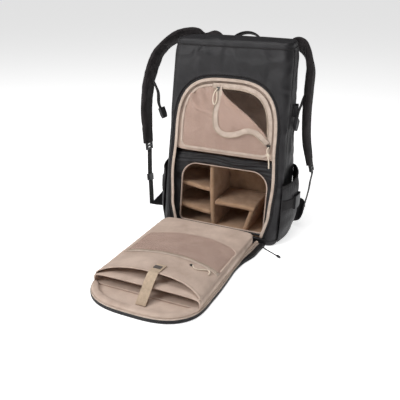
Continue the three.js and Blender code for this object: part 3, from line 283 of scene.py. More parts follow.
def arch(inset=0.0, count=160, foot=BASE_SEAM, widths=OPENING_WIDTHS, length=ARCH_LENGTH):
    """The arched outline from its left foot over the top to its right foot, drawn in by inset:
    sides by a table of half widths, and a superellipse |x|^p + |s|^p = 1 for the rounded end."""
    share = np.linspace(foot / length, ARCH_SHOULDER, 40)
    side = np.stack([ARCH_HALF * eased(widths, share), share * length], axis=1)
    a = np.linspace(0, np.pi / 2, 60)[1:]
    x = side[-1, 0] * np.abs(np.cos(a)) ** (2 / ARCH_POWER)
    s = length * (ARCH_SHOULDER + (1 - ARCH_SHOULDER) * np.sin(a) ** (2 / ARCH_POWER))
    right = np.vstack([side, np.stack([x, s], axis=1)])
    left = right[:-1] * (-1, 1)
    line = even(np.vstack([left, right[::-1]]), 4 * count)
    return even(beside(line, -inset), count)


# ---------------------------------------------------------------- meshes
def place(name, points, faces, uv, slot, replaced=()):
    volume = sum(
        float(np.einsum("ij,ij->", points[f[:, 0]], np.cross(points[f[:, k]], points[f[:, k + 1]])))
        for f in faces
        for k in range(1, f.shape[1] - 1)
    )
    lists = [row for f in faces for row in (f[:, ::-1] if volume < 0 else f).tolist()]
    mesh = bpy.data.meshes.new(name)
    mesh.from_pydata(points.tolist(), [], lists)
    corner = np.empty(len(mesh.loops), dtype=np.int32)
    mesh.loops.foreach_get("vertex_index", corner)
    layer = mesh.uv_layers.new(name="UVMap")
    layer.uv.foreach_set("vector", uv[corner].astype(np.float32).ravel())
    mesh.shade_smooth()
    piece = bpy.data.objects.new(name, mesh)
    bpy.context.scene.collection.objects.link(piece)
    mesh.materials.append(FINISHES[slot])
    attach(piece, "root")
    if replaced:
        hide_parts(*replaced)
    return piece


def lengths(points):
    """Mean distances along the rows and along the columns of a grid, for its UV map."""
    down = np.linalg.norm(np.diff(points, axis=0), axis=-1).mean(axis=1)
    across = np.linalg.norm(np.diff(points, axis=1), axis=-1).mean(axis=0)
    return np.concatenate([[0], np.cumsum(down)]), np.concatenate([[0], np.cumsum(across)])


def quads(a, b, c, d):
    """Four-cornered faces from four arrays of point numbers."""
    return np.stack([a.ravel(), b.ravel(), c.ravel(), d.ravel()], axis=1)


def grid_faces(number):
    """The faces between neighbouring rows and columns of a grid of point numbers."""
    return quads(number[:-1, :-1], number[1:, :-1], number[1:, 1:], number[:-1, 1:])


def grid_uv(grid):
    """Distances along a grid's rows and columns, one pair for each point."""
    v, u = lengths(grid)
    return np.stack(np.meshgrid(u, v), axis=-1).reshape(-1, 2)


def ringed(name, rings, slot, replaced=(), loop=False):
    """A closed skin over rings of points, each joined to the next, its two ends closed by a face
    each. A loop joins the last ring to the first instead."""
    number = np.arange(rings.shape[0] * rings.shape[1]).reshape(rings.shape[:2])
    wrapped = np.hstack([number, number[:, :1]])
    if loop:
        faces = [grid_faces(np.vstack([wrapped, wrapped[:1]]))]
    else:
        faces = [grid_faces(wrapped), number[0][None], number[-1][None, ::-1]]
    return place(name, rings.reshape(-1, 3), faces, grid_uv(rings), slot, replaced)


def walled(name, near, far, slot, replaced=(), around=False, pole=False):
    """A closed wall between two grids of the same size. around joins the last column to the first,
    and pole closes the last row of each grid with one face instead of joining the two grids."""
    rows, columns = near.shape[:2]
    index = np.arange(rows * columns).reshape(rows, columns)
    wrapped = np.hstack([index, index[:, :1]]) if around else index
    top = rows * columns
    inner = grid_faces(wrapped)
    faces = [inner, inner[:, ::-1] + top]
    first, last = wrapped[0], wrapped[-1]
    faces.append(quads(first[:-1], first[1:], first[1:] + top, first[:-1] + top))
    if pole:
        faces += [index[-1][None, ::-1], index[-1][None] + top]
    else:
        faces.append(quads(last[:-1] + top, last[1:] + top, last[1:], last[:-1]))
    if not around:
        left, right = index[:, 0], index[:, -1]
        faces.append(quads(left[:-1] + top, left[1:] + top, left[1:], left[:-1]))
        faces.append(quads(right[:-1], right[1:], right[1:] + top, right[:-1] + top))
    points = np.concatenate([near.reshape(-1, 3), far.reshape(-1, 3)])
    return place(name, points, faces, np.tile(grid_uv(near), (2, 1)), slot, replaced)


def normals(grid):
    """Unit normals of a grid: the cross product of its two directions."""
    return unit(np.cross(np.gradient(grid, axis=0), np.gradient(grid, axis=1)))


def soft_edge(rows, columns):
    """1 inside a sheet, falling towards 0.3 at its four hemmed edges as (1 - |2u - 1|^24)^(1/2)."""
    u = np.abs(np.linspace(-1, 1, rows))[:, None] ** 24
    v = np.abs(np.linspace(-1, 1, columns))[None] ** 24
    return 0.3 + 0.7 * np.sqrt(np.clip((1 - u) * (1 - v), 0, 1))


def cloth(name, grid, thick, slot, replaced=()):
    """A sheet of a thickness about a grid of its middle points, thinner at its hemmed edges."""
    half = normals(grid) * (thick / 2 * soft_edge(*grid.shape[:2]))[..., None]
    piece = walled(name, grid + half, grid - half, slot, replaced)


def carried(name, line, profile, across, slot, replaced=(), loop=False, scale=None):
    """A closed profile of (across, out) carried along a line. The across directions are made square
    to the line, and out = along x across. scale holds a factor for the profile at each point."""
    line = np.asarray(line, float)
    wide = np.broadcast_to(np.asarray(across, float), line.shape)
    if loop:
        along = unit(np.roll(line, -1, axis=0) - np.roll(line, 1, axis=0))
    else:
        along = unit(np.gradient(line, axis=0))
    wide = unit(wide - along * np.einsum("ij,ij->i", wide, along)[:, None])
    out = np.cross(along, wide)
    factor = np.ones((len(line), 2)) if scale is None else scale
    p = profile[None]
    sideways = wide[:, None] * p[..., :1] * factor[:, None, :1]
    outwards = out[:, None] * p[..., 1:] * factor[:, None, 1:]
    return ringed(name, line[:, None] + (sideways + outwards), slot, replaced, loop)


def round_cord(name, points, diameter, slot, replaced=()):
    """A cord: a circle carried along a smooth line through the points."""
    line = curve(points, max(40, 12 * len(points)))
    across = np.cross(np.gradient(line, axis=0), (0.3, 0.2, 0.93))
    piece = carried(name, line, rounded(diameter, diameter, 2.0, 14), across, slot, replaced)
    return piece


def bead(name, centre, sizes, slot, turn=0.0):
    """A knot or moulded end: an ellipsoid with the given half sizes, turned about the upright axis.
    A knot's radius is waved by 1 + 0.12 sin(3 a) sin(4 b)."""
    a = np.linspace(0, np.pi, 18)[:, None]
    b = np.linspace(0, 2 * np.pi, 24, endpoint=False)[None]
    wave = 1 + (0.12 * np.sin(3 * a) * np.sin(4 * b) if slot == "cord" else 0 * a * b)
    x = np.sin(a) * np.cos(b) * wave * sizes[0]
    y = np.sin(a) * np.sin(b) * wave * sizes[1]
    c, s = math.cos(turn), math.sin(turn)
    points = xyz(c * x - s * y, s * x + c * y, np.cos(a) * wave * sizes[2])
    return ringed(name, points[1:-1] + np.array(centre), slot)


BLOW_PRESSURE, BLOW_FRAMES = 4.0, 20
BLOW_CELL = 5 * MM  # of the remeshed copy


def coordinates(mesh):
    """A mesh's points as an array of rows."""
    points = np.empty(3 * len(mesh.vertices))
    mesh.vertices.foreach_get("co", points)
    return points.reshape(-1, 3)


def swollen(piece, cap=3.5 * MM):
    """Cloth simulation of a padded piece: its remeshed copy is blown up by a pressure without
    gravity, and every point of the piece follows the copy's five nearest points, weighted by
    1 / (distance + 0.5 mm), no farther than cap."""
    scene = bpy.context.scene
    copy = bpy.data.objects.new(piece.name + "_blown", piece.data.copy())
    scene.collection.objects.link(copy)
    remesh = copy.modifiers.new("even_cells", "REMESH")
    remesh.mode, remesh.voxel_size = "VOXEL", BLOW_CELL
    graph = bpy.context.evaluated_depsgraph_get()
    cells = bpy.data.meshes.new_from_object(copy.evaluated_get(graph))
    copy.modifiers.clear()
    copy.data = cells
    before = coordinates(cells)
    blow = copy.modifiers.new("blown", "CLOTH")
    blow.settings.use_pressure = True
    blow.settings.uniform_pressure_force = BLOW_PRESSURE
    blow.settings.effector_weights.gravity = 0
    blow.settings.quality = 4
    blow.settings.shrink_min = -0.04
    blow.point_cache.frame_start, blow.point_cache.frame_end = 1, BLOW_FRAMES
    for frame_number in range(1, BLOW_FRAMES + 1):
        scene.frame_set(frame_number)
    graph = bpy.context.evaluated_depsgraph_get()
    moved = coordinates(copy.evaluated_get(graph).data) - before
    moved = moved - moved.mean(axis=0)
    far = np.linalg.norm(moved, axis=1, keepdims=True)
    moved = moved * np.minimum(1, cap / np.maximum(far, 1e-9))
    tree = kdtree.KDTree(len(before))
    for k, point in enumerate(before.tolist()):
        tree.insert(point, k)
    tree.balance()
    points = coordinates(piece.data)
    for k, point in enumerate(points.tolist()):
        near = tree.find_n(point, 5)
        weight = np.array([1 / (d + 0.5 * MM) for _, _, d in near])
        points[k] += (moved[[n for _, n, _ in near]] * weight[:, None]).sum(axis=0) / weight.sum()
    piece.data.vertices.foreach_set("co", points.ravel())
    piece.data.update()
    bpy.data.objects.remove(copy)
    scene.frame_set(1)


def rounded(width, thick, power=4.0, count=20):
    """A superellipse profile of a width and a thickness."""
    a = np.linspace(0, 2 * np.pi, count, endpoint=False)
    c, s = np.cos(a), np.sin(a)
    x = np.sign(c) * np.abs(c) ** (2 / power) * width / 2
    y = np.sign(s) * np.abs(s) ** (2 / power) * thick / 2
    return np.stack([x, y], axis=1)


# ---------------------------------------------------------------- finishes
def linear(colour):
    """An sRGB hex colour as linear light."""
    c = np.array([int(colour[k : k + 2], 16) for k in (1, 3, 5)]) / 255
    return (*np.where(c <= 0.04045, c / 12.92, ((c + 0.055) / 1.055) ** 2.4).tolist(), 1.0)


def add(tree, kind, inputs=None, **settings):
    """Adds a node, sets its properties, and sets or links its inputs."""
    node = tree.nodes.new(kind)
    for key, value in settings.items():
        setattr(node, key, value)
    for key, value in (inputs or {}).items():
        if isinstance(value, bpy.types.NodeSocket):
            tree.links.new(value, node.inputs[key])
        else:
            node.inputs[key].default_value = value
    return node


def start(name):
    """A new material with an empty tree, the tree and its output node."""
    material = bpy.data.materials.new(name)
    material.use_nodes = True
    tree = material.node_tree
    tree.nodes.clear()
    return material, tree, add(tree, "ShaderNodeOutputMaterial")


def math_node(tree, operation, *inputs, **settings):
    """A node that works out a sum, product or other operation of its inputs."""
    node = add(tree, "ShaderNodeMath", dict(enumerate(inputs)), operation=operation, **settings)
    return node.outputs[0]


def noise(tree, scale, detail=2.0, **settings):
    """Smooth noise over the piece's own coordinates."""
    spot = add(tree, "ShaderNodeTexCoord")
    inputs = {"Vector": spot.outputs["Object"], "Scale": scale, "Detail": detail, **settings.pop("inputs", {})}
    return add(tree, "ShaderNodeTexNoise", inputs, **settings).outputs[0]


def tones(tree, factor, dark, light):
    """A colour between two tones."""
    inputs = {"Factor": factor, "A": linear(dark), "B": linear(light)}
    return add(tree, "ShaderNodeMix", inputs, data_type="RGBA").outputs["Result"]


def bumped(tree, height, strength, distance, **more):
    """A normal bent by a height."""
    inputs = {"Height": height, "Strength": strength, "Distance": distance, **more}
    return add(tree, "ShaderNodeBump", inputs).outputs[0]


def shaded(material, tree, output, inputs):
    """Ends a material's tree with its shader."""
    shader = add(tree, "ShaderNodeBsdfPrincipled", inputs)
    tree.links.new(shader.outputs[0], output.inputs["Surface"])
    return material


def threads(tree, pitch, rib=1.0):
    """sin(2 pi u / pitch) sin(2 pi v rib / pitch) on the piece's UV map, from -1 to 1."""
    place_uv = add(tree, "ShaderNodeUVMap", uv_map="UVMap")
    split = add(tree, "ShaderNodeSeparateXYZ", {"Vector": place_uv.outputs[0]})
    waves = []
    for axis, factor in (("X", 1.0), ("Y", rib)):
        turns = math_node(tree, "MULTIPLY", split.outputs[axis], 2 * math.pi * factor / pitch)
        waves.append(math_node(tree, "SINE", turns))
    return math_node(tree, "MULTIPLY", *waves)


def woven(
    name, dark, light, pitch, rib=1.0, rough=0.85, relief=0.25, sheen=0.1, mottle=45.0, contrast=0.5, crinkle=0.0,
    gleam=0.25,
):
    """Cloth: threads crossing at a pitch, two tones that vary slowly like worn and creased fabric,
    and a bump from threads, fine fuzz and, in metres by crinkle, sharp ridged creases."""
    material, tree, output = start(name)
    cross = threads(tree, pitch, rib)
    slow = noise(tree, mottle, 4.0, inputs={"Roughness": 0.6})
    weave = add(tree, "ShaderNodeMapRange", {"Value": cross, "From Min": -1.0, "To Max": contrast * 0.5})
    span = {"Value": slow, "From Min": 0.3, "From Max": 0.7, "To Max": 1.0 - contrast * 0.5}
    tone = add(tree, "ShaderNodeMapRange", span)
    total = math_node(tree, "ADD", weave.outputs[0], tone.outputs[0], use_clamp=True)
    bump = bumped(tree, math_node(tree, "MULTIPLY_ADD", cross, 0.5, noise(tree, 900.0)), relief, 0.6 * MM)
    if crinkle:
        creased = {"Roughness": 0.55, "Distortion": 0.6}
        folds = noise(tree, 16.0, 4.0, inputs=creased, noise_type="RIDGED_MULTIFRACTAL", normalize=True)
        bump = bumped(tree, folds, 1.0, crinkle, Normal=bump)
    inputs = {"Base Color": tones(tree, total, dark, light), "Roughness": rough, "Normal": bump}
    inputs.update({"Sheen Weight": sheen, "Sheen Roughness": 0.5, "Specular IOR Level": gleam})
    return shaded(material, tree, output, inputs)


def knitted_net(name, dark, light, pitch, cover):
    """Knitted net: yarn round small holes, |sin(pi u) sin(pi v)| above a level being a hole."""
    material, tree, output = start(name)
    deep = math_node(tree, "ABSOLUTE", threads(tree, 2 * pitch))
    edge = {"From Min": cover - 0.15, "From Max": cover + 0.15, "To Min": 1.0, "To Max": 0.12}
    yarn = add(tree, "ShaderNodeMapRange", {"Value": deep, **edge}).outputs[0]
    inputs = {"Base Color": tones(tree, noise(tree, 30.0, 3.0), dark, light), "Roughness": 0.8, "Alpha": yarn}
    inputs.update({"Normal": bumped(tree, yarn, 0.4, 0.4 * MM), "Sheen Weight": 0.25, "Specular IOR Level": 0.2})
    return shaded(material, tree, output, inputs)


def moulded(name, colour, light, rough, metal=0.0, grain=1400.0, relief=0.12):
    """Moulded plastic or a coated casting: one tone with a slight cloud, and a fine grain."""
    material, tree, output = start(name)
    cloud = noise(tree, 60.0, 3.0)
    rub = add(tree, "ShaderNodeMapRange", {"Value": cloud, "To Min": rough - 0.08, "To Max": rough + 0.12})
    bump = bumped(tree, noise(tree, grain), relief, 0.2 * MM)
    inputs = {"Base Color": tones(tree, cloud, colour, light), "Roughness": rub.outputs[0]}
    inputs.update({"Metallic": metal, "Normal": bump})
    return shaded(material, tree, output, inputs)


# Thread pitches are 2 to 4 times the real ones of 0.4 to 0.8 mm, so that the weave still shows.
FINISHES = {
    # Coated 420-denier nylon: near black, faintly blue, with a low broad gleam.
    "nylon": woven(
        "woven_nylon", "#100f11", "#232124", 2.0 * MM, rough=0.52, relief=0.3, sheen=0.03, mottle=20.0,
        crinkle=14 * MM, gleam=0.42,
    ),
    # Ribbed polyester webbing: darker than the nylon, its ribs catch the light.
    "webbing": woven(
        "ribbed_webbing", "#151415", "#2a2728", 2.4 * MM, rib=0.5, rough=0.7, relief=0.5, sheen=0.05, mottle=60.0,
    ),
    # Spacer mesh over foam: black and dull, a grid of small dimples.
    "padding": woven(
        "spacer_mesh", "#171516", "#363132", 3.0 * MM, rough=0.95, relief=0.8, sheen=0.05, mottle=50.0, contrast=0.9,
    ),
    # Fine polyester lining: warm grey-tan, matt, faintly mottled by its creases.
    "lining": woven(
        "polyester_lining", "#b19b8d", "#d3beaf", 1.8 * MM, rough=0.88, relief=0.2, mottle=22.0, crinkle=1.2 * MM,
    ),
    # Woven zip tape and binding: the palest cloth, with a fine cross rib.
    "binding": woven("binding_tape", "#b09e90", "#d2c1b4", 1.6 * MM, rib=0.6, relief=0.35, mottle=70.0),
    # Knitted net, see-through from the front, taupe.
    "net": knitted_net("knitted_net", "#b89b8c", "#d9bcae", 1.6 * MM, 0.42),
    # Brushed loop cloth over foam: browner than the lining, deep and dull.
    "foam": woven(
        "brushed_loop_cloth", "#98775c", "#bf9e82", 2.6 * MM, rough=0.97, relief=0.6, sheen=0.15, mottle=36.0,
        contrast=0.7,
    ),
    # Hook and loop tape: a yellowish nap with a hard little grain.
    "hook": woven("loop_tape", "#b59e87", "#dac4ab", 1.5 * MM, rough=0.9, relief=0.8, mottle=120.0, contrast=0.8),
    # Moulded acetal buckles: black, half matt.
    "plastic": moulded("moulded_acetal", "#141416", "#1f1f22", 0.42),
    # Braided cord of the zip pulls: cream, with a coarse plait.
    "cord": moulded("braided_cord", "#c9b7a3", "#ecdfce", 0.9, grain=700.0, relief=0.8),
    # The small bare tab: dark woven tape.
    "tab": moulded("woven_tab", "#4a4442", "#6b6460", 0.85, grain=900.0, relief=0.5),
    # Coated zinc zip sliders: dark, with a metal gleam.
    "slider": moulded("coated_zinc", "#3a3836", "#55524e", 0.32, metal=0.8, relief=0.05),
}
# The zips' coils, black and pale: a hard cross rib.
for finish, name, dark, light, rough in (
    ("coil", "zip_coil", "#101011", "#2e2d30", 0.5),
    ("pale_coil", "pale_zip_coil", "#94816f", "#cbb9a8", 0.6),
):
    FINISHES[finish] = woven(
        name, dark, light, 3.2 * MM, rib=0.02, rough=rough, relief=1.0, mottle=60.0, contrast=0.9,
    )
CARRIED_OVER = {  # small moulded solids that stay in view as they are, by finish
    "tab": ["plain_tab"],
    "slider": ["upper_zip_slider", "lower_zip_slider"],
    "plastic": [
        f"{buckle}_{side}"
        for buckle in ("ladder_lock", "side_buckle", "upper_buckle", "chest_buckle")
        for side in ("left", "right")
    ],
}
for finish, nodes in CARRIED_OVER.items():
    for node in nodes:
        for slot in bpy.data.objects[node].material_slots:
            slot.material = FINISHES[finish]


# ---------------------------------------------------------------- shell
def make_front_frame():
    """The ruled band from the opening's arch (w = 0) to the front seam (w = 1), laid on the shell and
    lifted by a low swell sin(pi w), a hem at the opening and creases."""
    inner = arch(0.0, 301)
    count = len(inner)
    corner = int(np.argmin(np.abs(inner[: count // 2, 1] - 0.94 * ARCH_LENGTH)))
    z_in = inner[:, 1] * math.cos(LEAN)
    a_in = arc_of(inner[:, 0], z_in)
    seam = front_seam(np.full(1, TOP_SEAM))[0]
    z_out = np.full(count, TOP_SEAM)
    z_out[: corner + 1] = np.linspace(z_in[0], TOP_SEAM, corner + 1)
    z_out[count - corner - 1 :] = z_out[: corner + 1][::-1]
    a_out = front_seam(z_out) * np.sign(inner[:, 0] + 1e-9)
    a_out[corner : count - corner] = np.linspace(-seam, seam, count - 2 * corner)
    w = np.linspace(0, 1, 44)[:, None]
    a, z = blend(a_in, a_out, w), blend(z_in, z_out, w)
    swell = np.sin(np.pi * w) ** 0.8
    lift = 2.2 * MM * swell + 1.2 * MM * np.exp(-((w / 0.08) ** 2))
    lift = lift + (1.4 * MM * creases(a, z, 0.11, 3, 0.5) + 1.5 * MM * ridges(a, z, 0.13, 4, 0.35)) * swell
    walled("front_frame_cloth", skin(a, z, lift), skin(a, z, lift - WALL), "nylon", ["front_frame"])


def make_wall(name, a_of, seed, columns=90, swell=3.0 * MM, crease=2.2 * MM):
    """A sewn panel of the shell between two seams: skin(a, z) for a between a0(z) and a1(z), lifted
    by (l + sqrt(l^2 + 1)) / 2 mm, never inwards, l being a swell and creases, both faded towards
    the seams by sin(pi u)^0.6 sin(pi v)^0.4."""
    z = np.linspace(BASE_SEAM, TOP_SEAM, 170)[:, None]
    u = np.linspace(0, 1, columns)[None]
    a0, a1 = a_of(z)
    a = blend(a0, a1, u)
    z = np.broadcast_to(z, a.shape)
    v = (z - BASE_SEAM) / (TOP_SEAM - BASE_SEAM)
    fade = np.sin(np.pi * u) ** 0.6 * np.sin(np.pi * v) ** 0.4
    lift = (swell + crease * creases(a, z, 0.11, seed, 1.6) + 0.7 * crease * ridges(a, z, 0.12, seed + 1, 0.6)) * fade
    lift = (lift + np.hypot(lift, 1 * MM)) / 2
    walled(name + "_cloth", skin(a, z, lift), skin(a, z, lift - WALL), "nylon", [name])


def make_cap(name, seam, edge, dome):
    """The top or the base: rings of the shell drawn in round the edge, z = edge -+ r (1 - sin) and
    inset r (1 - cos), then shrunk towards the middle by k over a low dome (1 - k^2)."""
    sign = np.sign(edge - seam)
    turn = np.linspace(0, np.pi / 2, 9)
    corner = edge - sign * EDGE_ROUND
    heights = np.concatenate([np.linspace(seam, corner, 4)[:-1], corner + sign * EDGE_ROUND * np.sin(turn)])
    insets = np.concatenate([np.zeros(3), EDGE_ROUND * (1 - np.cos(turn))])
    c = np.linspace(-1, 1, 160, endpoint=False)

    def rings(drop):
        """The cap's rings, a distance drop inside its outer surface."""
        z = np.clip(heights - sign * drop, 0, HEIGHT)
        outline = skin(c[None] * marks(z[:, None])[4], z[:, None], -(insets + drop)[:, None])
        outline[..., 2] = z[:, None]
        last = outline[-1]
        middle = last.mean(axis=0)
        k = np.cos(np.linspace(0, np.pi / 2, 16))[1:-1, None, None]
        inward = middle + (last - middle) * k
        crease = 0.8 * MM * sign * (dome > 0) * creases(inward[..., 0], inward[..., 1], 0.09, 11)
        inward[..., 2] = last[:, 2] + sign * dome * (1 - k[..., 0] ** 2) + crease * (1 - k[..., 0] ** 4)
        return np.concatenate([outline, inward])

    walled(name + "_cloth", rings(0.0), rings(WALL), "nylon", [name], around=True, pole=True)


def make_welts():
    """Piping sewn into the shell's seams: a round profile 3.2 mm thick carried along each seam."""
    z = np.linspace(BASE_SEAM, TOP_SEAM, 90)
    profile = rounded(3.2 * MM, 3.2 * MM, 2.0, 8)
    for side, sign in SIDES:
        front = skin(sign * front_seam(z), z, 0.6 * MM)
        carried(f"front_welt_{side}", front, profile, (0, 1, 0), "webbing")
        back = skin(sign * back_seam(z), z, 0.4 * MM)
        carried(f"back_welt_{side}", back, profile, (1, 0, 0), "webbing")
    c = np.linspace(-1, 1, 200, endpoint=False)
    for place_of, height in (("top", TOP_SEAM), ("base", BASE_SEAM)):
        ring = skin(c * marks(np.full(1, height))[4], height, 0.5 * MM)
        if place_of == "base":  # one point fewer, on its straight front
            ring = ring[np.abs(ring[:, 0]) > 0]
        carried(f"{place_of}_welt", ring, profile, (0, 0, 1), "webbing", loop=True)


def opening_line(inset, depth):
    """The opening's outline, drawn in by inset and a depth behind the shell's surface."""
    line = arch(inset, 240, BASE_SEAM + 2 * MM)
    z = line[:, 1] * math.cos(LEAN)
    return skin(arc_of(line[:, 0], z), z, -depth), line


def make_opening_trim():
    """The zip's coil and tape, and the folded binding inside them, as flat profiles on the arch."""
    line, flat = opening_line(GAP + ZIP_WIDTH / 2, 1.6 * MM)
    across = on_face(*np.insert(np.gradient(flat, axis=0), 1, 0, axis=1).T) - on_face(0, 0, 0)
    across = np.cross(across, (0, -math.cos(LEAN), math.sin(LEAN)))
    carried("opening_zip_tape", line, rounded(ZIP_WIDTH, 1.6 * MM, 6), across, "webbing", ["opening_zip"])
    coil, _ = opening_line(GAP + ZIP_WIDTH * 0.7, 0.4 * MM)
    carried("opening_zip_coil", coil, rounded(2.6 * MM, 1.8 * MM, 2.5, 12), across, "coil")
    inset = 2 * GAP + ZIP_WIDTH + BINDING_WIDTH / 2
    middle, _ = opening_line(inset, 1.7 * MM)
    carried("opening_binding_tape", middle, rounded(BINDING_WIDTH, 3.0 * MM, 3), across, "binding", ["opening_binding"])


make_front_frame()
make_wall("side_wall_left", lambda z: (-back_seam(z), -front_seam(z)), 5)
make_wall("side_wall_right", lambda z: (front_seam(z), back_seam(z)), 8)
make_wall("back_wall", lambda z: (back_seam(z), marks(z)[4] + BACK_SEAM), 13, 50, 0.0, 0.2 * MM)
make_cap("top_panel", TOP_SEAM, HEIGHT, 5 * MM)
make_cap("base_panel", BASE_SEAM, 0.0, 0.0)
make_welts()
make_opening_trim()


# ---------------------------------------------------------------- two chambers
def square_ring(turn, y, inset, low, top):
    """The inside of the shell at a depth y, seen along +Y: |x/a|^14 + |z/b|^14 = 1 at angles turn,
    its half width a following the shell's side less inset."""
    middle, b = (low + top) / 2, (top - low) / 2
    a = half_at(y, middle) - inset
    r = ((np.abs(np.cos(turn)) / a) ** 14.0 + (np.abs(np.sin(turn)) / b) ** 14.0) ** (-1 / 14.0)
    z = middle + r * np.sin(turn)
    return r * np.cos(turn) * (half_at(y, z) - inset) / a, z


def no_folds(turn, w):
    """Smooth sides for a chamber."""
    return 0 * turn


def chamber(window, depth, inset, low, top, corners, folds):
    """Rings of an open box: from its window's outline over the front, along the sides to the back
    and in to the back's middle. corners are the radii in plan at the front and the back and the one
    of the long edges: r (1 - sin) is taken off beside each. folds(turn, w) lies on the sides."""
    face = on_face(window[:, 0], depth, window[:, 1])
    middle = (low + top) / 2
    turn = np.arctan2(face[:, 2] - middle, face[:, 0])
    deep_end = DEPTH / 2 - inset
    front_round, back_round, long_round = corners

    def rounded_by(r, d):
        """r (1 - sqrt(1 - (1 - d/r)^2)), what a corner of radius r takes off at a distance d."""
        return r * (1 - math.sqrt(max(0.0, 1 - max(0.0, 1 - d / r) ** 2)))

    def ring(w):
        """The box's outline a share w of the way from its front to its back."""
        flat = front_y(middle) + depth / math.cos(LEAN)
        span = deep_end - flat
        near, away = w * span, (1 - w) * span
        wide = rounded_by(front_round, near) + rounded_by(back_round, away)
        tall = rounded_by(long_round, near) + rounded_by(long_round, away)
        crease = folds(turn, w)
        x, z = square_ring(turn, blend(flat, deep_end, w), inset + wide + crease, low + tall, top - tall)
        z = middle + (z - middle) * (1 - crease / (top - low) * 2)
        y = blend(front_y(z) + depth / math.cos(LEAN), deep_end, w)
        return np.stack([x, y, z], axis=1)

    first = ring(0.0)
    rows = [blend(face, first, u) for u in np.linspace(0, 1, 7)[:-1]]
    near = (1 - np.cos(np.linspace(0, np.pi / 2, 7))) * 0.14
    away = 1 - (1 - np.sin(np.linspace(0, np.pi / 2, 9))) * 0.2
    rows += [ring(w) for w in np.concatenate([near, np.linspace(0.14, 0.8, 18)[1:-1], away])]
    last = rows[-1]
    centre = last.mean(axis=0)
    for k in np.cos(np.linspace(0, np.pi / 2, 12))[1:-1]:
        inward = centre + (last - centre) * k
        inward[:, 1] -= np.clip(folds(turn, 0.5), 0, None) * (1 - k**4) * 0.6
        rows.append(inward)
    return np.array(rows)


def net_outline(inset=0.0):
    """The net cover's outline: the arch drawn in, cut off level above a foot with rounded corners."""
    corner = 18 * MM
    line = arch(MESH_INSET + inset, 400)
    foot = MESH_FOOT + inset
    keep = line[line[:, 1] > foot + corner]
    half = np.abs(keep[0, 0])
    a = np.linspace(0, np.pi / 2, 12)
    right = np.stack([half - corner + corner * np.cos(a), foot + corner - corner * np.sin(a)], axis=1)
    return even(np.vstack([keep, right, right[::-1] * (-1, 1)]), 240, closed=True)


def pod_window(half, low, top, corner, foot):
    """A rectangle from the middle of its foot, its upper corners rounded by corner and its lower
    ones by foot."""
    a = np.linspace(0, np.pi / 2, 14)
    upper = np.stack([half - corner + corner * np.cos(a), top - corner + corner * np.sin(a)], axis=1)
    lower = np.stack([half - foot + foot * np.sin(a), low + foot - foot * np.cos(a)], axis=1)
    right = np.vstack([[0, low], lower, upper])
    return even(np.vstack([right, right[1:][::-1] * (-1, 1)]), 240, closed=True)


def make_liner():
    """The upper space's lining: one sewn bag with its window behind the net, soft folds inside."""
    window = net_outline(5 * MM)
    thick = 1.6 * MM

    def folds(turn, w):
        """2.5 mm (1 + creases), dying out at the front and the back."""
        fade = math.sin(math.pi * w) ** 0.5
        return 2.5 * MM * (1 + creases(turn * 0.16, w * 0.15 + 0 * turn, 0.12, 21)) * fade

    outer = chamber(window, LINER_DEPTH, INSIDE, LINER_LOW, LINER_TOP, (18 * MM, 30 * MM, 10 * MM), no_folds)
    inner = chamber(
        window, LINER_DEPTH + thick, INSIDE + thick, LINER_LOW + thick, LINER_TOP - thick,
        (17 * MM, 28 * MM, 9 * MM), folds,
    )
    walled("upper_liner_cloth", inner, outer, "lining", ["upper_liner"], around=True, pole=True)


def make_pod():
    """The padded pod: foam walls with rounded front edges round its window."""
    window = pod_window(*WINDOW)
    depth = POD_DEPTH + 4.5 * MM
    outer = chamber(window, depth, INSIDE, POD_FLOOR, POD_CEILING, (16 * MM, 30 * MM, 8 * MM), no_folds)
    inner = chamber(
        window, depth + POD_WALL, INSIDE + POD_WALL, POD_FLOOR + POD_WALL, POD_CEILING - POD_WALL,
        (14 * MM, 24 * MM, 6 * MM), no_folds,
    )
    piece = walled("pod_box_foam", inner, outer, "foam", ["pod_box"], around=True, pole=True)


def make_pod_frame():
    """The pod's nylon front round its window: rings blended from the window to the outer outline,
    swelling forward by sin(pi w), with level folds over the window, and a thin binding."""
    window = pod_window(*WINDOW)
    half = HALF_WIDTH - WALL - 5 * MM
    outline = pod_window(half, BASE_SEAM + 2 * MM, POD_FRAME_TOP + 6 * MM, WINDOW_CORNER / 2, 6 * MM)
    w = np.linspace(0, 1, 22)[:, None]
    x, s = blend(window[:, 0], outline[:, 0], w), blend(window[:, 1], outline[:, 1], w)
    above = rise(WINDOW_TOP - 30 * MM, WINDOW_TOP + 2 * MM, s)
    swell = (4 + 5 * above) * MM * np.sin(np.pi * w) ** 0.7
    level = 2.6 * MM * np.sin(2 * np.pi * (s + 3.5 * MM * np.sin(x / 0.025)) / (12 * MM)) * above * np.sin(np.pi * w)
    crease = (1.2 * MM * creases(x, s, 0.05, 31) + 1.6 * MM * ridges(x, s, 0.07, 33)) * np.sin(np.pi * w)
    depth = POD_DEPTH + 2 * MM - swell - level - crease
    near, far = on_face(x, depth, s), on_face(x, depth + 2.2 * MM, s)
    walled("pod_frame_cloth", near, far, "nylon", ["pod_frame"], around=True)
    edge = on_face(window[:, 0], POD_DEPTH + 3 * MM, window[:, 1])
    carried("pod_window_binding", edge, rounded(3.4 * MM, 5 * MM, 3, 12), (0, 1, 0), "lining", loop=True)


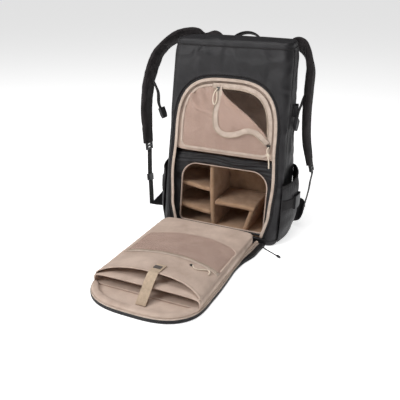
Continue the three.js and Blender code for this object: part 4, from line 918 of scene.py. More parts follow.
def make_divider(name, place_of, first, last):
    """A padded divider: its middle surface is place_of(v, y) for v from first to last, and its half
    thickness is t sqrt(1 - (1 - d/t)^2) within t of its front edge, with a sewn line behind it."""
    half = DIVIDER / 2
    v = np.linspace(first, last, 34)[:, None]
    near = half * (1 - np.cos(np.linspace(0, np.pi / 2, 9)))
    d = np.concatenate([near, np.linspace(half, 115 * MM, 34)[1:]])[None]
    grid, out = place_of(v, d)
    round_end = np.sqrt(np.clip(1 - np.clip(1 - d / half, 0, 1) ** 2, 0, 1))
    seam = 1 - 0.22 * np.exp(-(((d - 9 * MM) / (1.2 * MM)) ** 2))
    soft = 0.93 + 0.07 * creases(v, d, 0.05, len(name))
    thick = (half * (0.06 + 0.94 * round_end) * seam * soft)[..., None] * out
    piece = walled(name, grid + thick, grid - thick, "foam", [name.replace("_pad", "")])


def pod_front(z):
    """How far back the dividers' front edges are at a height z."""
    return front_y(z) + (POD_DEPTH + 4.3 * MM + POD_WALL + 7 * MM) / math.cos(LEAN)


def make_dividers():
    """The upright divider x = x0 - tan(tilt)(z - m), bowed by b sin(pi v); the left shelves falling
    towards it by a share of x; the right shelf, and the slanted leg under its drooping end."""
    low, top = POD_FLOOR + POD_WALL + 0.4 * MM, POD_CEILING - POD_WALL - 0.4 * MM
    middle = (low + top) / 2
    side = HALF_WIDTH - WALL - POD_WALL - 1.4 * MM
    reach = DIVIDER / 2 + 0.4 * MM

    def leaning(x0, tilt, z):
        """x0 - tan(tilt)(z - m)."""
        return x0 - math.tan(tilt) * (z - middle)

    def tilted(x0, tilt, bow):
        """The middle surface of an upright divider, its bow dying out towards the back."""

        def place_of(z, d):
            x = leaning(x0, tilt, z) + bow * np.sin(np.pi * (z - low) / (top - low)) * np.exp(-d / 0.05) + 0 * d
            return xyz(x, pod_front(z) + d, z), unit(np.array([1.0, 0.0, math.tan(tilt)]))

        return place_of

    def level(z0, fall, droop, end):
        """The middle surface of a shelf. One that falls is fitted to the pod's rounded corner."""

        def place_of(x, d):
            away = DEPTH / 2 - WALL - POD_WALL - 2 * MM - pod_front(z0) - d
            cut = 26 * MM * (1 - np.sqrt(1 - np.clip(1 - away / (26 * MM), 0, 1) ** 2))
            wall = half_at(pod_front(z0) + d, z0) - WALL - POD_WALL - 2.4 * MM - cut
            x = end + (x - end) * (wall + end) / (side - 1 * MM + end) if fall else x + 0 * d
            z = z0 - fall * (x - LEFT_MIDDLE) - droop * rise(end - 26 * MM, end, x) * np.exp(-d / 0.08)
            z = z + 1.2 * MM * creases(x, d, 0.08, 37)
            return xyz(x, pod_front(z0) + d, z), unit(np.array([fall, 0.0, 1.0]))

        return place_of

    make_divider("divider_main_pad", tilted(MAIN_DIVIDER_X, MAIN_DIVIDER_TILT, -3 * MM), low, top)
    for k, share in enumerate(LEFT_SHELVES, 1):
        z = blend(low, top, share)
        end = leaning(MAIN_DIVIDER_X, MAIN_DIVIDER_TILT, z) - reach
        make_divider(f"divider_left_{k}_pad", level(z, LEFT_FALL, 0.0, end), -side + 1 * MM, end)
    shelf = blend(low, top, RIGHT_SHELF)
    begin = leaning(MAIN_DIVIDER_X, MAIN_DIVIDER_TILT, shelf) + reach
    end = leaning(SLANT_X, SLANT_TILT, shelf) + DIVIDER / 2
    make_divider("divider_right_shelf_pad", level(shelf, 0.0, 2.5 * MM, end), begin, end)
    make_divider("divider_slanted_pad", tilted(SLANT_X, SLANT_TILT, 2 * MM), low, shelf - reach)


# ---------------------------------------------------------------- net cover and its zip
def crown(x, s):
    """How far the net stands forward: c (1 - |x/a|^2.4)(1 - |(s - m)/b|^2.4)."""
    middle, half = (MESH_FOOT + ARCH_LENGTH) / 2, (ARCH_LENGTH - MESH_FOOT) / 2
    across = 1 - np.clip(np.abs(x) / (ARCH_HALF - MESH_INSET), 0, 1) ** 2.4
    up = 1 - np.clip(np.abs(s - middle) / half, 0, 1) ** 2.4
    return MESH_CROWN * across * up


def net_depth(x, s, lift=0.0):
    """How far behind the face the net lies, less a lift."""
    return LINER_DEPTH - 1.0 * MM - lift - crown(x, s)


def face_line(rows, count):
    """A smooth line through (share of the half width, share of the length) rows on the face."""
    return curve(np.array(rows) * (ARCH_HALF, ARCH_LENGTH), count)


def make_net():
    """The closed part of the net: rows at each height from the outline's left side to its right
    side or to the fold, standing forward by the crown, with slanted and level creases where the
    open zip pulls at its left."""
    outline = net_outline(1 * MM)
    fold = face_line(FOLD, 120)
    order = np.argsort(fold[:, 1])
    right_side = outline[outline[:, 0] > 0]
    by_height = right_side[np.argsort(right_side[:, 1])]
    top = fold[:, 1].max() - 1.5 * MM
    s = blend(MESH_FOOT + 1.2 * MM, top, (1 - np.cos(np.linspace(0, np.pi, 90))) / 2)[:, None]
    edge = np.interp(s, by_height[:, 1], by_height[:, 0])
    right = np.where(s > fold[:, 1].min(), np.interp(s, fold[order, 1], fold[order, 0]), edge)
    u = np.linspace(0, 1, 90)[None]
    x = blend(-edge, np.minimum(right, edge), u)
    s = np.broadcast_to(s, x.shape)
    fade = np.clip(crown(x, s) / (4 * MM), 0, 1)
    turned = (x + 0.06) * 0.87 + (s - 0.4) * 0.5
    pull = 4.2 * MM * np.sin(turned / (4.5 * MM)) * np.exp(-(((x + 0.085) / 0.035) ** 2) - ((s - 0.375) / 0.03) ** 2)
    level = 4.0 * MM * np.exp(-(((s - 0.342 + 0.28 * (x + 0.085)) / (3.5 * MM)) ** 2)) * (x < -0.015) * (x > -0.095)
    soft, crisp = 1.0 * MM * creases(x, s, 0.07, 41), 0.8 * MM * ridges(x, s, 0.09, 42)
    grid = on_face(x, net_depth(x, s, 0.6 * MM) - fade * (pull + level + soft + crisp), s)
    cloth("mesh_cover_net", grid, NET_THICK, "net", ["mesh_cover"])


def make_flap():
    """The turned-back corner: lines blended from the fold to the free edge, rolled up at the fold
    by 4 mm e^(-run / 14 mm) and lying in soft waves."""
    fold, edge = face_line(FOLD, 90), face_line(FLAP_EDGE, 90)
    u = np.linspace(0, 1, 44)[:, None]
    x = blend(fold[:, 0], edge[:, 0], u)
    s = blend(fold[:, 1], edge[:, 1], u)
    gap = np.hypot(*(edge - fold).T)
    run = u * gap
    roll = 4 * MM * np.exp(-run / (14 * MM)) * np.clip(gap / (20 * MM), 0, 1)
    wave = 1.8 * MM * creases(x, s, 0.06, 44) * np.clip(gap / (30 * MM), 0, 1) * np.sin(np.pi * u) ** 0.5
    grid = on_face(x, net_depth(x, s, 2.6 * MM) - roll - wave, s)
    cloth("mesh_flap_net", grid, NET_THICK, "net", ["mesh_flap"])


def face_band(name, line, width, thick, lift, slot, replaced=(), power=4.0):
    """A flat band along a line on the face, standing on the net by lift."""
    place_at = on_face(line[:, 0], net_depth(line[:, 0], line[:, 1], lift), line[:, 1])
    along = np.gradient(line, axis=0)
    across = on_face(-along[:, 1], 0, along[:, 0]) - on_face(0, 0, 0)
    carried(name, place_at, rounded(width, thick, power, 16), across, slot, replaced)


UPPER_PULL = (
    (-23.5, 396, 8), (-28, 388, 11), (-31, 378, 11), (-32, 366, 10), (-30.5, 358.5, 9.5), (-27, 355.5, 9.5),
    (-23.5, 358.5, 9), (-22, 366, 9), (-22, 377, 9), (-23.5, 388, 9.5),
)
LOWER_PULL = (
    (124.5, 262, 9), (122, 255, 11.5), (123, 248, 12.5), (126, 241, 13), (127, 234, 12.5), (129.5, 222, 12),
    (130.5, 208, 11.5),
)


def make_pulls():
    """The cream cords on the two sliders of the net's zip, from rows of (across, up, forward) in
    mm: the upper one is a loop, and the lower one has a knot."""

    def hung(rows):
        """The rows as points in front of the net."""
        return np.array([on_face(x * MM, net_depth(x * MM, s * MM, lift * MM), s * MM) for x, s, lift in rows])

    line = hung(UPPER_PULL)
    round_cord("upper_pull_cord", line, 3.4 * MM, "cord", ["upper_zip_pull"])
    line = hung(LOWER_PULL)
    knot = bead("lower_pull_knot", line[3], (4.4 * MM, 3.8 * MM, 5 * MM), "cord")
    round_cord("lower_pull_cord", line, 3.6 * MM, "cord", ["lower_zip_pull"])


def make_net_trim():
    """The seam piping round the closed net, the zip's two parted tapes with their coils, and the pulls on its sliders."""
    rim = net_outline(PIPING / 2)
    fold = face_line(FOLD, 60)
    start = int(np.argmax((rim[:, 0] > 0) & (rim[:, 1] < fold[-1, 1])))
    rim = np.roll(rim, -start, axis=0)
    at_fold = (rim[:, 0] < 0) & (np.abs(rim[:, 0] - fold[0, 0]) < 20 * MM)
    stop = int(np.argmax((rim[:, 1] > fold[0, 1] - 6 * MM) & at_fold))
    closed = even(rim[: stop + 1], 200)
    face_band("mesh_piping_tape", closed, PIPING, 3.2 * MM, 1.8 * MM, "binding", ["mesh_piping"], power=2.6)
    parted = even(rim[stop:], 120)
    tape = beside(parted, -2 * MM)
    face_band("liner_zip_tape_cloth", tape, FLAP_TAPE, 1.6 * MM, 1.0 * MM, "binding", ["liner_zip_tape"])
    coil = beside(parted, -FLAP_TAPE / 2 - 0.5 * MM)
    face_band("liner_zip_coil", coil, 2.6 * MM, 2.0 * MM, 2.4 * MM, "pale_coil", power=2.5)
    make_pulls()
    edge = face_line(FLAP_EDGE, 150)[3:-3]
    face_band("flap_zip_tape_cloth", edge, FLAP_TAPE, 1.6 * MM, 4.6 * MM, "binding", ["flap_zip_tape"])
    coil = beside(edge, -FLAP_TAPE / 2 + 0.8 * MM)
    face_band("flap_zip_coil", coil, 2.6 * MM, 2.2 * MM, 6.2 * MM, "pale_coil", power=2.5)


make_liner()
make_pod()
make_pod_frame()
make_dividers()
make_net()
make_flap()
make_net_trim()


# ---------------------------------------------------------------- front panel, folded down
def panel_outline(inset, count=240):
    """The panel's outline drawn in by inset, from its left hinge corner round to its right one,
    where its side lies up to 10 mm nearer to the sleeve."""
    line = arch(inset, count, 0.4 * MM + inset, PANEL_WIDTHS, PANEL_LENGTH)
    s = line[:, 1]
    line[:, 0] -= 10 * MM * (line[:, 0] > 0) * rise(70 * MM, 170 * MM, s) * (1 - rise(290 * MM, 390 * MM, s))
    return line


def make_panel_shell():
    """A flat padded shell: its outline on a rounded edge, r (1 - cos) in and r sin up, then shrunk
    towards the middle over a top that swells and creases a little."""
    insets = 4 * MM * (1 - np.cos(np.linspace(0, np.pi / 2, 7)))
    levels = SHELL_THICK / 2 * np.sin(np.linspace(0, np.pi / 2, 7))

    def rings(up):
        """The shell's rings, upwards for 1 and downwards for -1."""
        rows = []
        for inset, level in zip(insets, levels):
            line = panel_outline(max(inset, 0.1 * MM))
            line = np.vstack([line, np.linspace(line[-1], line[0], 42)[1:-1]])
            rows.append(on_panel(line[:, 0], line[:, 1], SHELL_THICK / 2 + up * level))
        last, centre = rows[-1], rows[-1].mean(axis=0)
        for k in np.cos(np.linspace(0, np.pi / 2, 12))[1:-1]:
            rows.append(centre + (last - centre) * k)
        return np.array(rows)

    walled("panel_shell_cloth", rings(1), rings(-1), "nylon", ["panel_shell"], around=True, pole=True)


def make_panel_rim():
    """The padded rim: a rounded profile carried along the outline, full at the free end, narrow
    beside the sleeve and drawn in near the hinge, with a thin cream binding along its outside, and
    the panel's half of the long zip, black, on the shell's edge."""
    outline = panel_outline(0.1 * MM, 460)
    outline = even(outline[outline[:, 1] > 10 * MM], 360)
    at = outline[:, 1]
    free = rise(SLEEVE_END - 10 * MM, SLEEVE_END + 22 * MM, at)
    width = blend(7 * MM, RIM_WIDTH, free)
    drawn = RIM_INSET + 12 * MM * (1 - rise(60 * MM, 150 * MM, at))
    line = beside(outline, -(drawn + width / 2)[:, None])
    ripple = 1 + 0.05 * creases(np.linspace(0, 1, 360), 0, 0.05, 51)
    along = np.gradient(outline, axis=0)
    across = np.stack([along[:, 1], along[:, 0], 0 * along[:, 0]], axis=1)
    low = 0.7 + 0.3 * free
    middle = on_panel(line[:, 0], line[:, 1], SHELL_THICK + GAP + RIM_HEIGHT * low / 2)
    factor = np.stack([ripple * width / RIM_WIDTH, ripple * low], axis=1)
    profile = rounded(RIM_WIDTH, RIM_HEIGHT, 2.6, 28)
    piece = carried("panel_rim_pad", middle, profile, across, "lining", ["panel_rim"], scale=factor)
    seam = beside(outline, -(drawn - 1.0 * MM)[:, None])
    edge = on_panel(seam[:, 0], seam[:, 1], SHELL_THICK + 2.2 * MM)
    carried("panel_edge_binding", edge, rounded(4 * MM, 4 * MM, 2.5, 12), across, "binding")
    zip_line = beside(outline, -1.4 * MM)
    edge = on_panel(zip_line[:, 0], zip_line[:, 1], SHELL_THICK + 0.4 * MM)
    carried("panel_zip_coil", edge, rounded(3.4 * MM, 3 * MM, 2.5, 12), across, "coil")


def make_panel_lining():
    """The lining inside the rim: a sheet from the hinge cloth to the rim, faintly creased."""
    line = panel_outline(RIM_INSET + RIM_WIDTH + GAP, 400)
    right = line[line[:, 0] >= 0]
    right = right[np.argsort(right[:, 1])]
    t = blend(25 * MM, right[-1, 1] + 0.5 * MM, np.sin(np.linspace(0, np.pi / 2, 80)))[:, None]
    free = rise(SLEEVE_END - 10 * MM, SLEEVE_END + 22 * MM, t)
    drawn = 12 * MM * (1 - rise(60 * MM, 150 * MM, t))
    half = np.interp(t, right[:, 1], right[:, 0]) + 2 * MM + (RIM_WIDTH - 7 * MM) * (1 - free) - drawn
    x = half * np.linspace(-1, 1, 60)[None]
    z = SHELL_THICK + GAP + 1.9 * MM + 0.5 * MM * creases(x, t + 0 * x, 0.06, 53)
    cloth("panel_lining_cloth", on_panel(x, t, z), 3 * MM, "lining", ["panel_lining"])


def make_hinge():
    """The hinge cloth: a smooth line of (from the hinge, up), from the panel's shell up the leaning
    front of the base."""
    under, slope = SHELL_THICK + GAP, math.tan(LEAN)
    up = BASE_SEAM + 1 * MM
    rows = [(24 * MM, under), (9 * MM, under), (3 * MM, under + 0.6 * MM)]
    line = curve(rows + [(-(up - 4 * MM) * slope + GAP, up - 4 * MM), (-up * slope + GAP, up)], 26)
    x = np.linspace(-HINGE_HALF, HINGE_HALF, 70)[None]
    t, z = line[:, :1] + 0.9 * MM, line[:, 1:] + 0.9 * MM
    grid = on_panel(x, t, z + 0 * x)
    cloth("panel_hinge_cloth", grid, 1.8 * MM, "nylon", ["panel_hinge"])


def drawn_in(t):
    """How much narrower each side of the sleeve is at its far end: r - sqrt(r^2 - (r - d)^2)."""
    back = np.clip((SLEEVE_START + SLEEVE_CORNER - t) / SLEEVE_CORNER, 0, 1)
    return SLEEVE_CORNER * (1 - np.sqrt(1 - back**2))


def sleeve_height(t):
    """The sleeve's height, rounded off towards its far end over 16 mm."""
    e = np.clip((SLEEVE_START + 16 * MM - t) / (16 * MM), 0, 1)
    return SLEEVE_HEIGHT * (0.4 + 0.6 * np.sqrt(1 - e**2))


def sleeve_top(x, t):
    """The sleeve's upper surface: h (1 + (1 - |x/a|^6)^(1/6)) / 2 above its foot."""
    share = np.clip(np.abs(x) / (SLEEVE_HALF - 2 * MM - drawn_in(t)), 0, 1)
    return LINING_TOP + GAP + sleeve_height(t) * (1 + (1 - share**6) ** (1 / 6)) / 2


def make_sleeve():
    """The padded sleeve: rounded rectangles from its mouth back to its rounded far end, softer along
    their upper edges. Its side walls lean outwards to their foot and are ribbed along their length
    by sin(2 pi z / 3.4 mm), with one deeper crease."""
    turn = np.linspace(0, 2 * np.pi, 280, endpoint=False)
    end = SLEEVE_START + SLEEVE_CORNER * (1 - np.sin(np.linspace(0, np.pi / 2, 20)))[1:]
    t = np.concatenate([np.linspace(SLEEVE_END, SLEEVE_START + SLEEVE_CORNER, 90), end])[:, None]

    def tube(inset, folds):
        """The sleeve's rings drawn in by inset. folds is 1 for ribs and creases and 0 for none."""
        half = SLEEVE_HALF - inset - drawn_in(t)
        c, s = np.cos(turn)[None], np.sin(turn)[None]
        power = np.where(s > 0, 6.0, 10.0)
        x = np.sign(c) * np.abs(c) ** (2 / power) * half
        z = np.sign(s) * np.abs(s) ** (2 / power) + 0 * half
        on_side = np.clip((np.abs(x) - half + 9 * MM) / (9 * MM), 0, 1)
        up = (z + 1) / 2
        height = sleeve_height(t) - 2 * inset
        lean = 2.0 * MM - 5.0 * MM * up - 3 * MM * (x > 0)
        rib = 0.4 * MM * np.sin(2 * np.pi * up * 8) * on_side * folds
        tuck = -2.2 * MM * np.exp(-(((up - 0.22) / 0.1) ** 2)) * on_side * folds
        seam = -1.2 * MM * np.exp(-(((up - 0.86) / 0.05) ** 2)) * on_side * folds
        soft = 1.4 * MM * creases(t + 0 * x, z * 0.02, 0.07, 58) * on_side * folds * (0.3 + up)
        x = x + np.sign(x) * (rib + tuck + seam + soft + lean * np.abs(x) / half)
        z = LINING_TOP + GAP + inset + up * height + folds * 0.7 * MM * creases(x, t + 0 * x, 0.09, 57) * (z > 0.3)
        return on_sleeve(x, np.maximum(t, SLEEVE_START + inset * 0.5), z)

    inner, outer = tube(3 * MM, 0.0), tube(0.0, 1.0)
    piece = walled("panel_sleeve_cloth", inner, outer, "lining", ["panel_sleeve"], around=True, pole=True)
    rows = np.linspace(SLEEVE_END - 2 * MM, SLEEVE_START + SLEEVE_CORNER, 60)
    for side, sign in SIDES:
        half = SLEEVE_HALF - drawn_in(rows) - (7.5 * MM if sign > 0 else 4.5 * MM)
        line = on_sleeve(sign * half, rows, sleeve_top(sign * half, rows) + 0.6 * MM)
        carried(f"sleeve_piping_{side}", line, rounded(2.6 * MM, 2.6 * MM, 2, 12), (1, 0, 0), "binding")


def pocket_z(x, t):
    """The slip pocket's height: the sleeve's upper surface, and a bulge towards the pocket's lip."""
    swell = rise(POCKET_START + 60 * MM, POCKET_LIP, t)
    across = np.clip(1 - (x / POCKET_HALF) ** 2, 0, 1) ** 0.8
    return sleeve_top(x, t) + GAP + POCKET_BULGE * swell * across


def pocket_patch(name, across, start_of, end_of, rows, lift, thick, wave, slot, replaced):
    """A sheet over the slip pocket's surface, between two distances from the hinge."""
    x = across[None]
    t = blend(start_of(x), end_of(x), np.linspace(0, 1, rows)[:, None])
    x = x * (1 - drawn_in(t) / SLEEVE_HALF)
    z = pocket_z(x, t) + lift + thick / 2 + wave(x, t)
    cloth(name, on_sleeve(x, t, z), thick, slot, replaced)


def make_pockets():
    """The slip pocket from the sleeve's far end to its swept lip, and the net pocket sewn on it
    between two bowed edges, with a pale zip along the nearer one."""

    def lip(x):
        """The swept lip's distance from the hinge: l + s (x/a)^4."""
        return POCKET_LIP + POCKET_SWEEP * (x / POCKET_HALF) ** 4

    def wave(x, t):
        """Soft creases of the pocket's cloth, 0.9 mm (1 + creases), from the hinge outwards."""
        return 0.9 * MM * (1 + creases(x, t, 0.08, 61)) * rise(0.0, 0.1, t) + 0 * x

    x = np.linspace(-POCKET_HALF, POCKET_HALF, 90)
    pocket_patch(
        "slip_pocket_cloth", POCKET_HALF * np.linspace(-1, 1, 90), lambda x: POCKET_START + 0 * x, lip, 110,
        0.2 * MM, 1.5 * MM, wave, "lining", ["slip_pocket"],
    )
    t = lip(x)
    line = on_sleeve(x, t + 0.5 * MM, pocket_z(x, t) + 1 * MM + wave(x, t))
    carried("slip_pocket_binding", line, rounded(7 * MM, 3 * MM, 3, 14), (0, -1, 0), "lining")
    over = 3.4 * MM

    def share(x):
        """The square of the distance from the net's middle over its half width."""
        return np.clip((x - NET_CENTRE) / NET_HALF, -1, 1) ** 2

    def far_edge(x):
        """The net's edge nearer to the hinge, bowed towards it."""
        return NET_START - NET_BOW * (1 - share(x))

    def near_edge(x):
        """The net's edge at its zip, whose ends sweep away from the hinge."""
        return NET_END + NET_SWEEP * share(x)

    def sag(x, t):
        """The net stands up to 1.5 mm off the pocket in its middle."""
        return wave(x, t) + 1.5 * MM * (1 - share(x)) ** 0.5

    across = NET_CENTRE + NET_HALF * np.linspace(-1, 1, 90)
    pocket_patch(
        "net_pocket_net", across, far_edge, near_edge, 70,
        over - 1 * MM, NET_THICK, sag, "net", ["net_pocket"],
    )
    pocket_patch(
        "net_pocket_zip_tape", across, near_edge, lambda x: near_edge(x) + 12 * MM, 8,
        over - 1.4 * MM, 2.0 * MM, wave, "binding", ["net_pocket_zip"],
    )
    x = NET_CENTRE + np.linspace(-NET_HALF + 3 * MM, NET_HALF - 3 * MM, 90)
    t = near_edge(x) + 5 * MM
    coil = on_sleeve(x, t, pocket_z(x, t) + over + 1.0 * MM + wave(x, t))
    carried("net_pocket_coil", coil, rounded(3 * MM, 2 * MM, 2.5, 12), (0, -1, 0), "pale_coil")
    left, right = NET_CENTRE - NET_HALF, NET_CENTRE + NET_HALF
    up = np.linspace(near_edge(left) + 10 * MM, NET_START + 8 * MM, 20)
    x = NET_CENTRE + np.linspace(-1, 1, 60) * (NET_HALF - 4 * MM)
    outline = np.hstack([[np.full(20, left), up], [x, far_edge(x)], [np.full(20, right), up[::-1]]]).T
    x, t = even(curve(outline[::4], 160), 160).T
    across = np.stack([np.gradient(t), np.gradient(x), 0 * x], axis=1)
    line = on_sleeve(x, t, pocket_z(x, t) + over + wave(x, t))
    carried("net_pocket_binding", line, rounded(5 * MM, 2.4 * MM, 3, 12), across, "lining")


def make_closure():
    """The closure strap from the pocket over its lip down to the lining."""
    u = np.linspace(0, 1, 60)
    x = blend(CLOSURE_RIGHT, CLOSURE_LEFT, u)
    t = blend(CLOSURE_START, CLOSURE_END, u)
    over = pocket_z(x, np.minimum(t, POCKET_LIP)) + 1.9 * MM
    past = np.clip((t - POCKET_LIP - 6 * MM) / (CLOSURE_END - POCKET_LIP - 6 * MM), 0, 1)
    z = blend(over, LINING_TOP + GAP, past**1.15) + blend(2.4 * MM, 1.0 * MM, past)
    line = on_sleeve(x, t, z)
    carried("closure_strap_tape", line, rounded(CLOSURE_WIDTH, 2 * MM, 8, 28), (1, 0, 0), "hook", ["closure_strap"])


NET_PULL = (
    (70, 262, 6), (77, 270, 5.5), (86, 270, 4.6), (97, 262, 4.6), (106, 257, 4.6), (112, 262, 4.6), (113, 271, 4.6),
)
LONG_PULL = ((131, -96, 9), (136, -100, 4.5), (146, -107, 2.2), (160, -115, 1.9), (174, -123, 1.9), (186, -131, 2.4))


def make_panel_cords():
    """The pull of the net pocket's zip, lying on the pocket, and the long zip's pull with its
    moulded end on the floor beside the pack, from rows in mm."""
    line = np.array([on_sleeve(x * MM, t * MM, pocket_z(x * MM, t * MM) + lift * MM) for x, t, lift in NET_PULL])
    slider = bead("net_pocket_slider", line[0] - (3 * MM, 0, 0.6 * MM), (5 * MM, 3.6 * MM, 2.4 * MM), "slider")
    round_cord("net_pocket_pull", line, 3.4 * MM, "cord", ())
    line = np.array(LONG_PULL) * MM
    middle = line[-1] + (4 * MM, -3 * MM, 0.9 * MM)
    end = bead("long_zip_pull_end", middle, (9 * MM, 4 * MM, 3 * MM), "plastic", math.radians(-36))
    round_cord("long_zip_pull_cord", line, 3 * MM, "webbing", ())


make_panel_shell()
make_panel_cords()
make_panel_rim()
make_panel_lining()
make_hinge()
make_sleeve()
make_pockets()
make_closure()


# ---------------------------------------------------------------- back, harness and sides
# Routes from the top down, in mm.
STRAP_ROUTES = {
    "left": (
        (-62, 110.1, 405), (-76, 113.1, 456), (-126, 121, 500), (-192, 100, 503), (-240, 62, 462),
        (-256, 32, 404), (-262, 15, 340), (-262, 8, 276), (-255, 2, 212),
    ),
    "right": (
        (62, 110.1, 405), (76, 113.1, 452), (116, 126, 486), (153, 124, 482), (177, 108, 440),
        (181, 93, 380), (182, 86, 316), (188, 80, 252), (205, 73, 190),
    ),
}
WEBBING_ROUTES = {
    "left": ((-250, -5, 160), (-246, -13, 122), (-239, -22, 84), (-231, -35, 36)),
    "right": ((210, 69, 142), (208, 66, 116), (204, 63, 90), (199, 60, 62)),
}


CHEST_ANCHORS = {"left": (-256.3, 33.4, 406), "right": (181, 94, 386)}
CHEST_ROUTES = {
    "left": ((12, -8, -14), (26, -16, -34), (28, -18, -62), (34, -18, -80)),
    "right": ((0, -20, -12), (0.5, -40, -22), (0, -58, -36), (0, -68, -50)),
}  # from where the webbing leaves the pad


def strap_across(sign, t):
    """The strap's width direction: across the back at its anchor, front to back from half way."""
    return blend(np.array([sign * 0.9, 0, 0.3]), np.array([0.05, -1, 0.1]), rise(0.1, 0.5, t)[:, None])


def make_shoulder(side, sign):
    """A shoulder pad: a padded profile carried along its route, behind the back pad where it lies
    on it, narrowing at its foot, and blown up. Gives the route."""
    line = curve(np.array(STRAP_ROUTES[side]) * MM, 120)
    t = np.linspace(0, 1, 120)
    width = STRAP_WIDTH * blend(1, 0.76, rise(0.8, 1, t))
    factor = np.stack([width / STRAP_WIDTH, 1 + 0 * t], axis=1)
    on_pad = (np.abs(line[:, 0]) < PAD_HALF) & (line[:, 2] < PAD_TOP)
    line[:, 1] = np.maximum(line[:, 1], np.where(on_pad, PAD_BACK + GAP + STRAP_THICK / 2, -1))
    name, profile = f"shoulder_pad_{side}", rounded(STRAP_WIDTH, STRAP_THICK, 3.4, 40)
    piece = carried(name + "_foam", line, profile, strap_across(sign, t), "padding", [name], scale=factor)
    swollen(piece)
    return line


def make_webbing(side, sign, pad):
    """The webbing from the pad's ladder lock down to the wing, with a strap keeper on the left one.
    Gives its route."""
    end = pad[-1]
    along = unit(pad[-1] - pad[-3])
    begin = end + along * 22.6 * MM
    points = np.vstack([begin, begin + along * 6 * MM, np.array(WEBBING_ROUTES[side]) * MM])
    line = curve(points, 70)
    across = strap_across(sign, np.ones(1))[0]
    name, profile = f"lower_webbing_{side}", rounded(WEBBING_WIDTH, 1.8 * MM, 10, 28)
    carried(name + "_tape", line, profile, across, "webbing", [name])
    if side == "left":
        keeper = curve(line[31:40:2], 30)
        carried("webbing_keeper_left", keeper, rounded(WEBBING_WIDTH + 7 * MM, 7 * MM, 6, 28), across, "plastic")
    return line


def make_wing(side, sign, web):
    """The sewn wing from the pack's lower side out to the webbing's end: a blend with a bow."""
    tip, down = web[-1], unit(web[-1] - web[-3])
    across = strap_across(sign, np.ones(1))[0]
    across = unit(across - down * np.dot(across, down))
    ends = sorted([tip + across * WEBBING_WIDTH / 2, tip - across * WEBBING_WIDTH / 2], key=lambda p: p[1])
    roots = []
    for z, y in ((10 * MM, 70 * MM), (74 * MM, 76 * MM)):
        roots.append(np.array([sign * (half_at(y, z) + 1.6 * MM), y, z]))
    u = np.linspace(0, 1, 40)[:, None, None]
    v = np.linspace(0, 1, 30)[None, :, None]
    grid = blend(blend(roots[0], roots[1], v), blend(ends[0], ends[1], v), u)
    bow = np.sin(np.pi * u[..., 0])
    grid[..., 0] += sign * (10 * MM * bow + 1.5 * MM)
    grid[..., 2] += bow * blend(-10 * MM, 16 * MM, v[..., 0])
    grid[..., 2] = np.maximum(grid[..., 2], 5 * MM)
    grid[..., 0] += sign * 2 * MM * creases(grid[..., 1], grid[..., 2], 0.05, 91) * bow
    name = f"strap_wing_{side}"
    cloth(name + "_cloth", grid, 3 * MM, "nylon", [name])


def pocket_point(sign, t, z, lift=0.0):
    """The side pocket's outside: w(y, z) + b sin(pi t)^0.6 from the middle, b growing with height."""
    swell = 27 * MM * (0.55 + 0.45 * rise(6 * MM, 76 * MM, z))
    shift = np.clip(z - 60 * MM, 0, None) * math.tan(LEAN)
    y = blend(SIDE_POCKET_FRONT + shift - lift, SIDE_POCKET_BACK + lift, t)
    out = (swell + lift) * np.clip(np.sin(np.pi * t), 0, 1) ** 0.6
    return np.stack([sign * (half_at(y, z) + 2.2 * MM + np.maximum(out, 0.8 * MM)), y, z + 0 * y], axis=-1)


def make_side_pocket(side, sign):
    """The stretch side pocket: rises from a rounded foot to a mouth that slopes down forward, with
    upright gathers sin(k t) under its elastic edge."""
    t = ((1 - np.cos(np.linspace(0, np.pi, 90))) / 2)[None]
    v = np.linspace(0, 1, 60)[:, None]
    y = blend(SIDE_POCKET_FRONT, SIDE_POCKET_BACK, t)
    mouth = 152 * MM + 34 * MM * (y + 112 * MM) / (218 * MM)
    z = blend(8 * MM, mouth, v)
    foot = np.sqrt(1 - (1 - np.clip(v / 0.06, 0, 1)) ** 2)
    gathers = 1.2 * MM * np.sin(2 * np.pi * 13 * t + 2 * np.sin(6 * v)) * v**2 + 1.5 * MM * creases(y, z, 0.07, 71)
    tight = -3 * MM * rise(0.86, 1.0, v)
    grid = pocket_point(sign, t + 0 * z, z)
    wall = grid.copy()
    wall[..., 0] = sign * (half_at(grid[..., 1], grid[..., 2]) + 1.2 * MM)
    grid = blend(wall, grid, (0.06 + 0.94 * foot)[..., None])
    grid[..., 0] += sign * (gathers + tight) * np.sin(np.pi * t) * foot
    name = f"side_pocket_{side}"
    cloth(name + "_cloth", grid, 1.6 * MM, "nylon", [name])
    carried(name + "_hem", grid[-1], rounded(10 * MM, 3.4 * MM, 3, 14), (0, 0, 1), "webbing")


def make_side_strap(side, sign):
    """The strap round the side pocket, 28 mm of webbing on its surface."""
    t = np.linspace(0.01, 0.99, 70)[None]
    z = np.linspace(96 * MM, 124 * MM, 12)[:, None]
    grid = pocket_point(sign, t + 0 * z, z, 1.8 * MM)
    cloth(f"side_strap_{side}_tape", grid, 1.8 * MM, "webbing", [f"side_strap_{side}"])


def make_upper_strap(side, sign):
    """The short strap on the upper side wall, 22 mm wide."""
    y = np.linspace(10 * MM, 52 * MM, 40)[None]
    z = np.linspace(327 * MM, 349 * MM, 12)[:, None]
    grid = xyz(sign * (half_at(y, z) + 3.6 * MM), y, z)
    cloth(f"upper_strap_{side}_tape", grid, 1.8 * MM, "webbing", [f"upper_strap_{side}"])


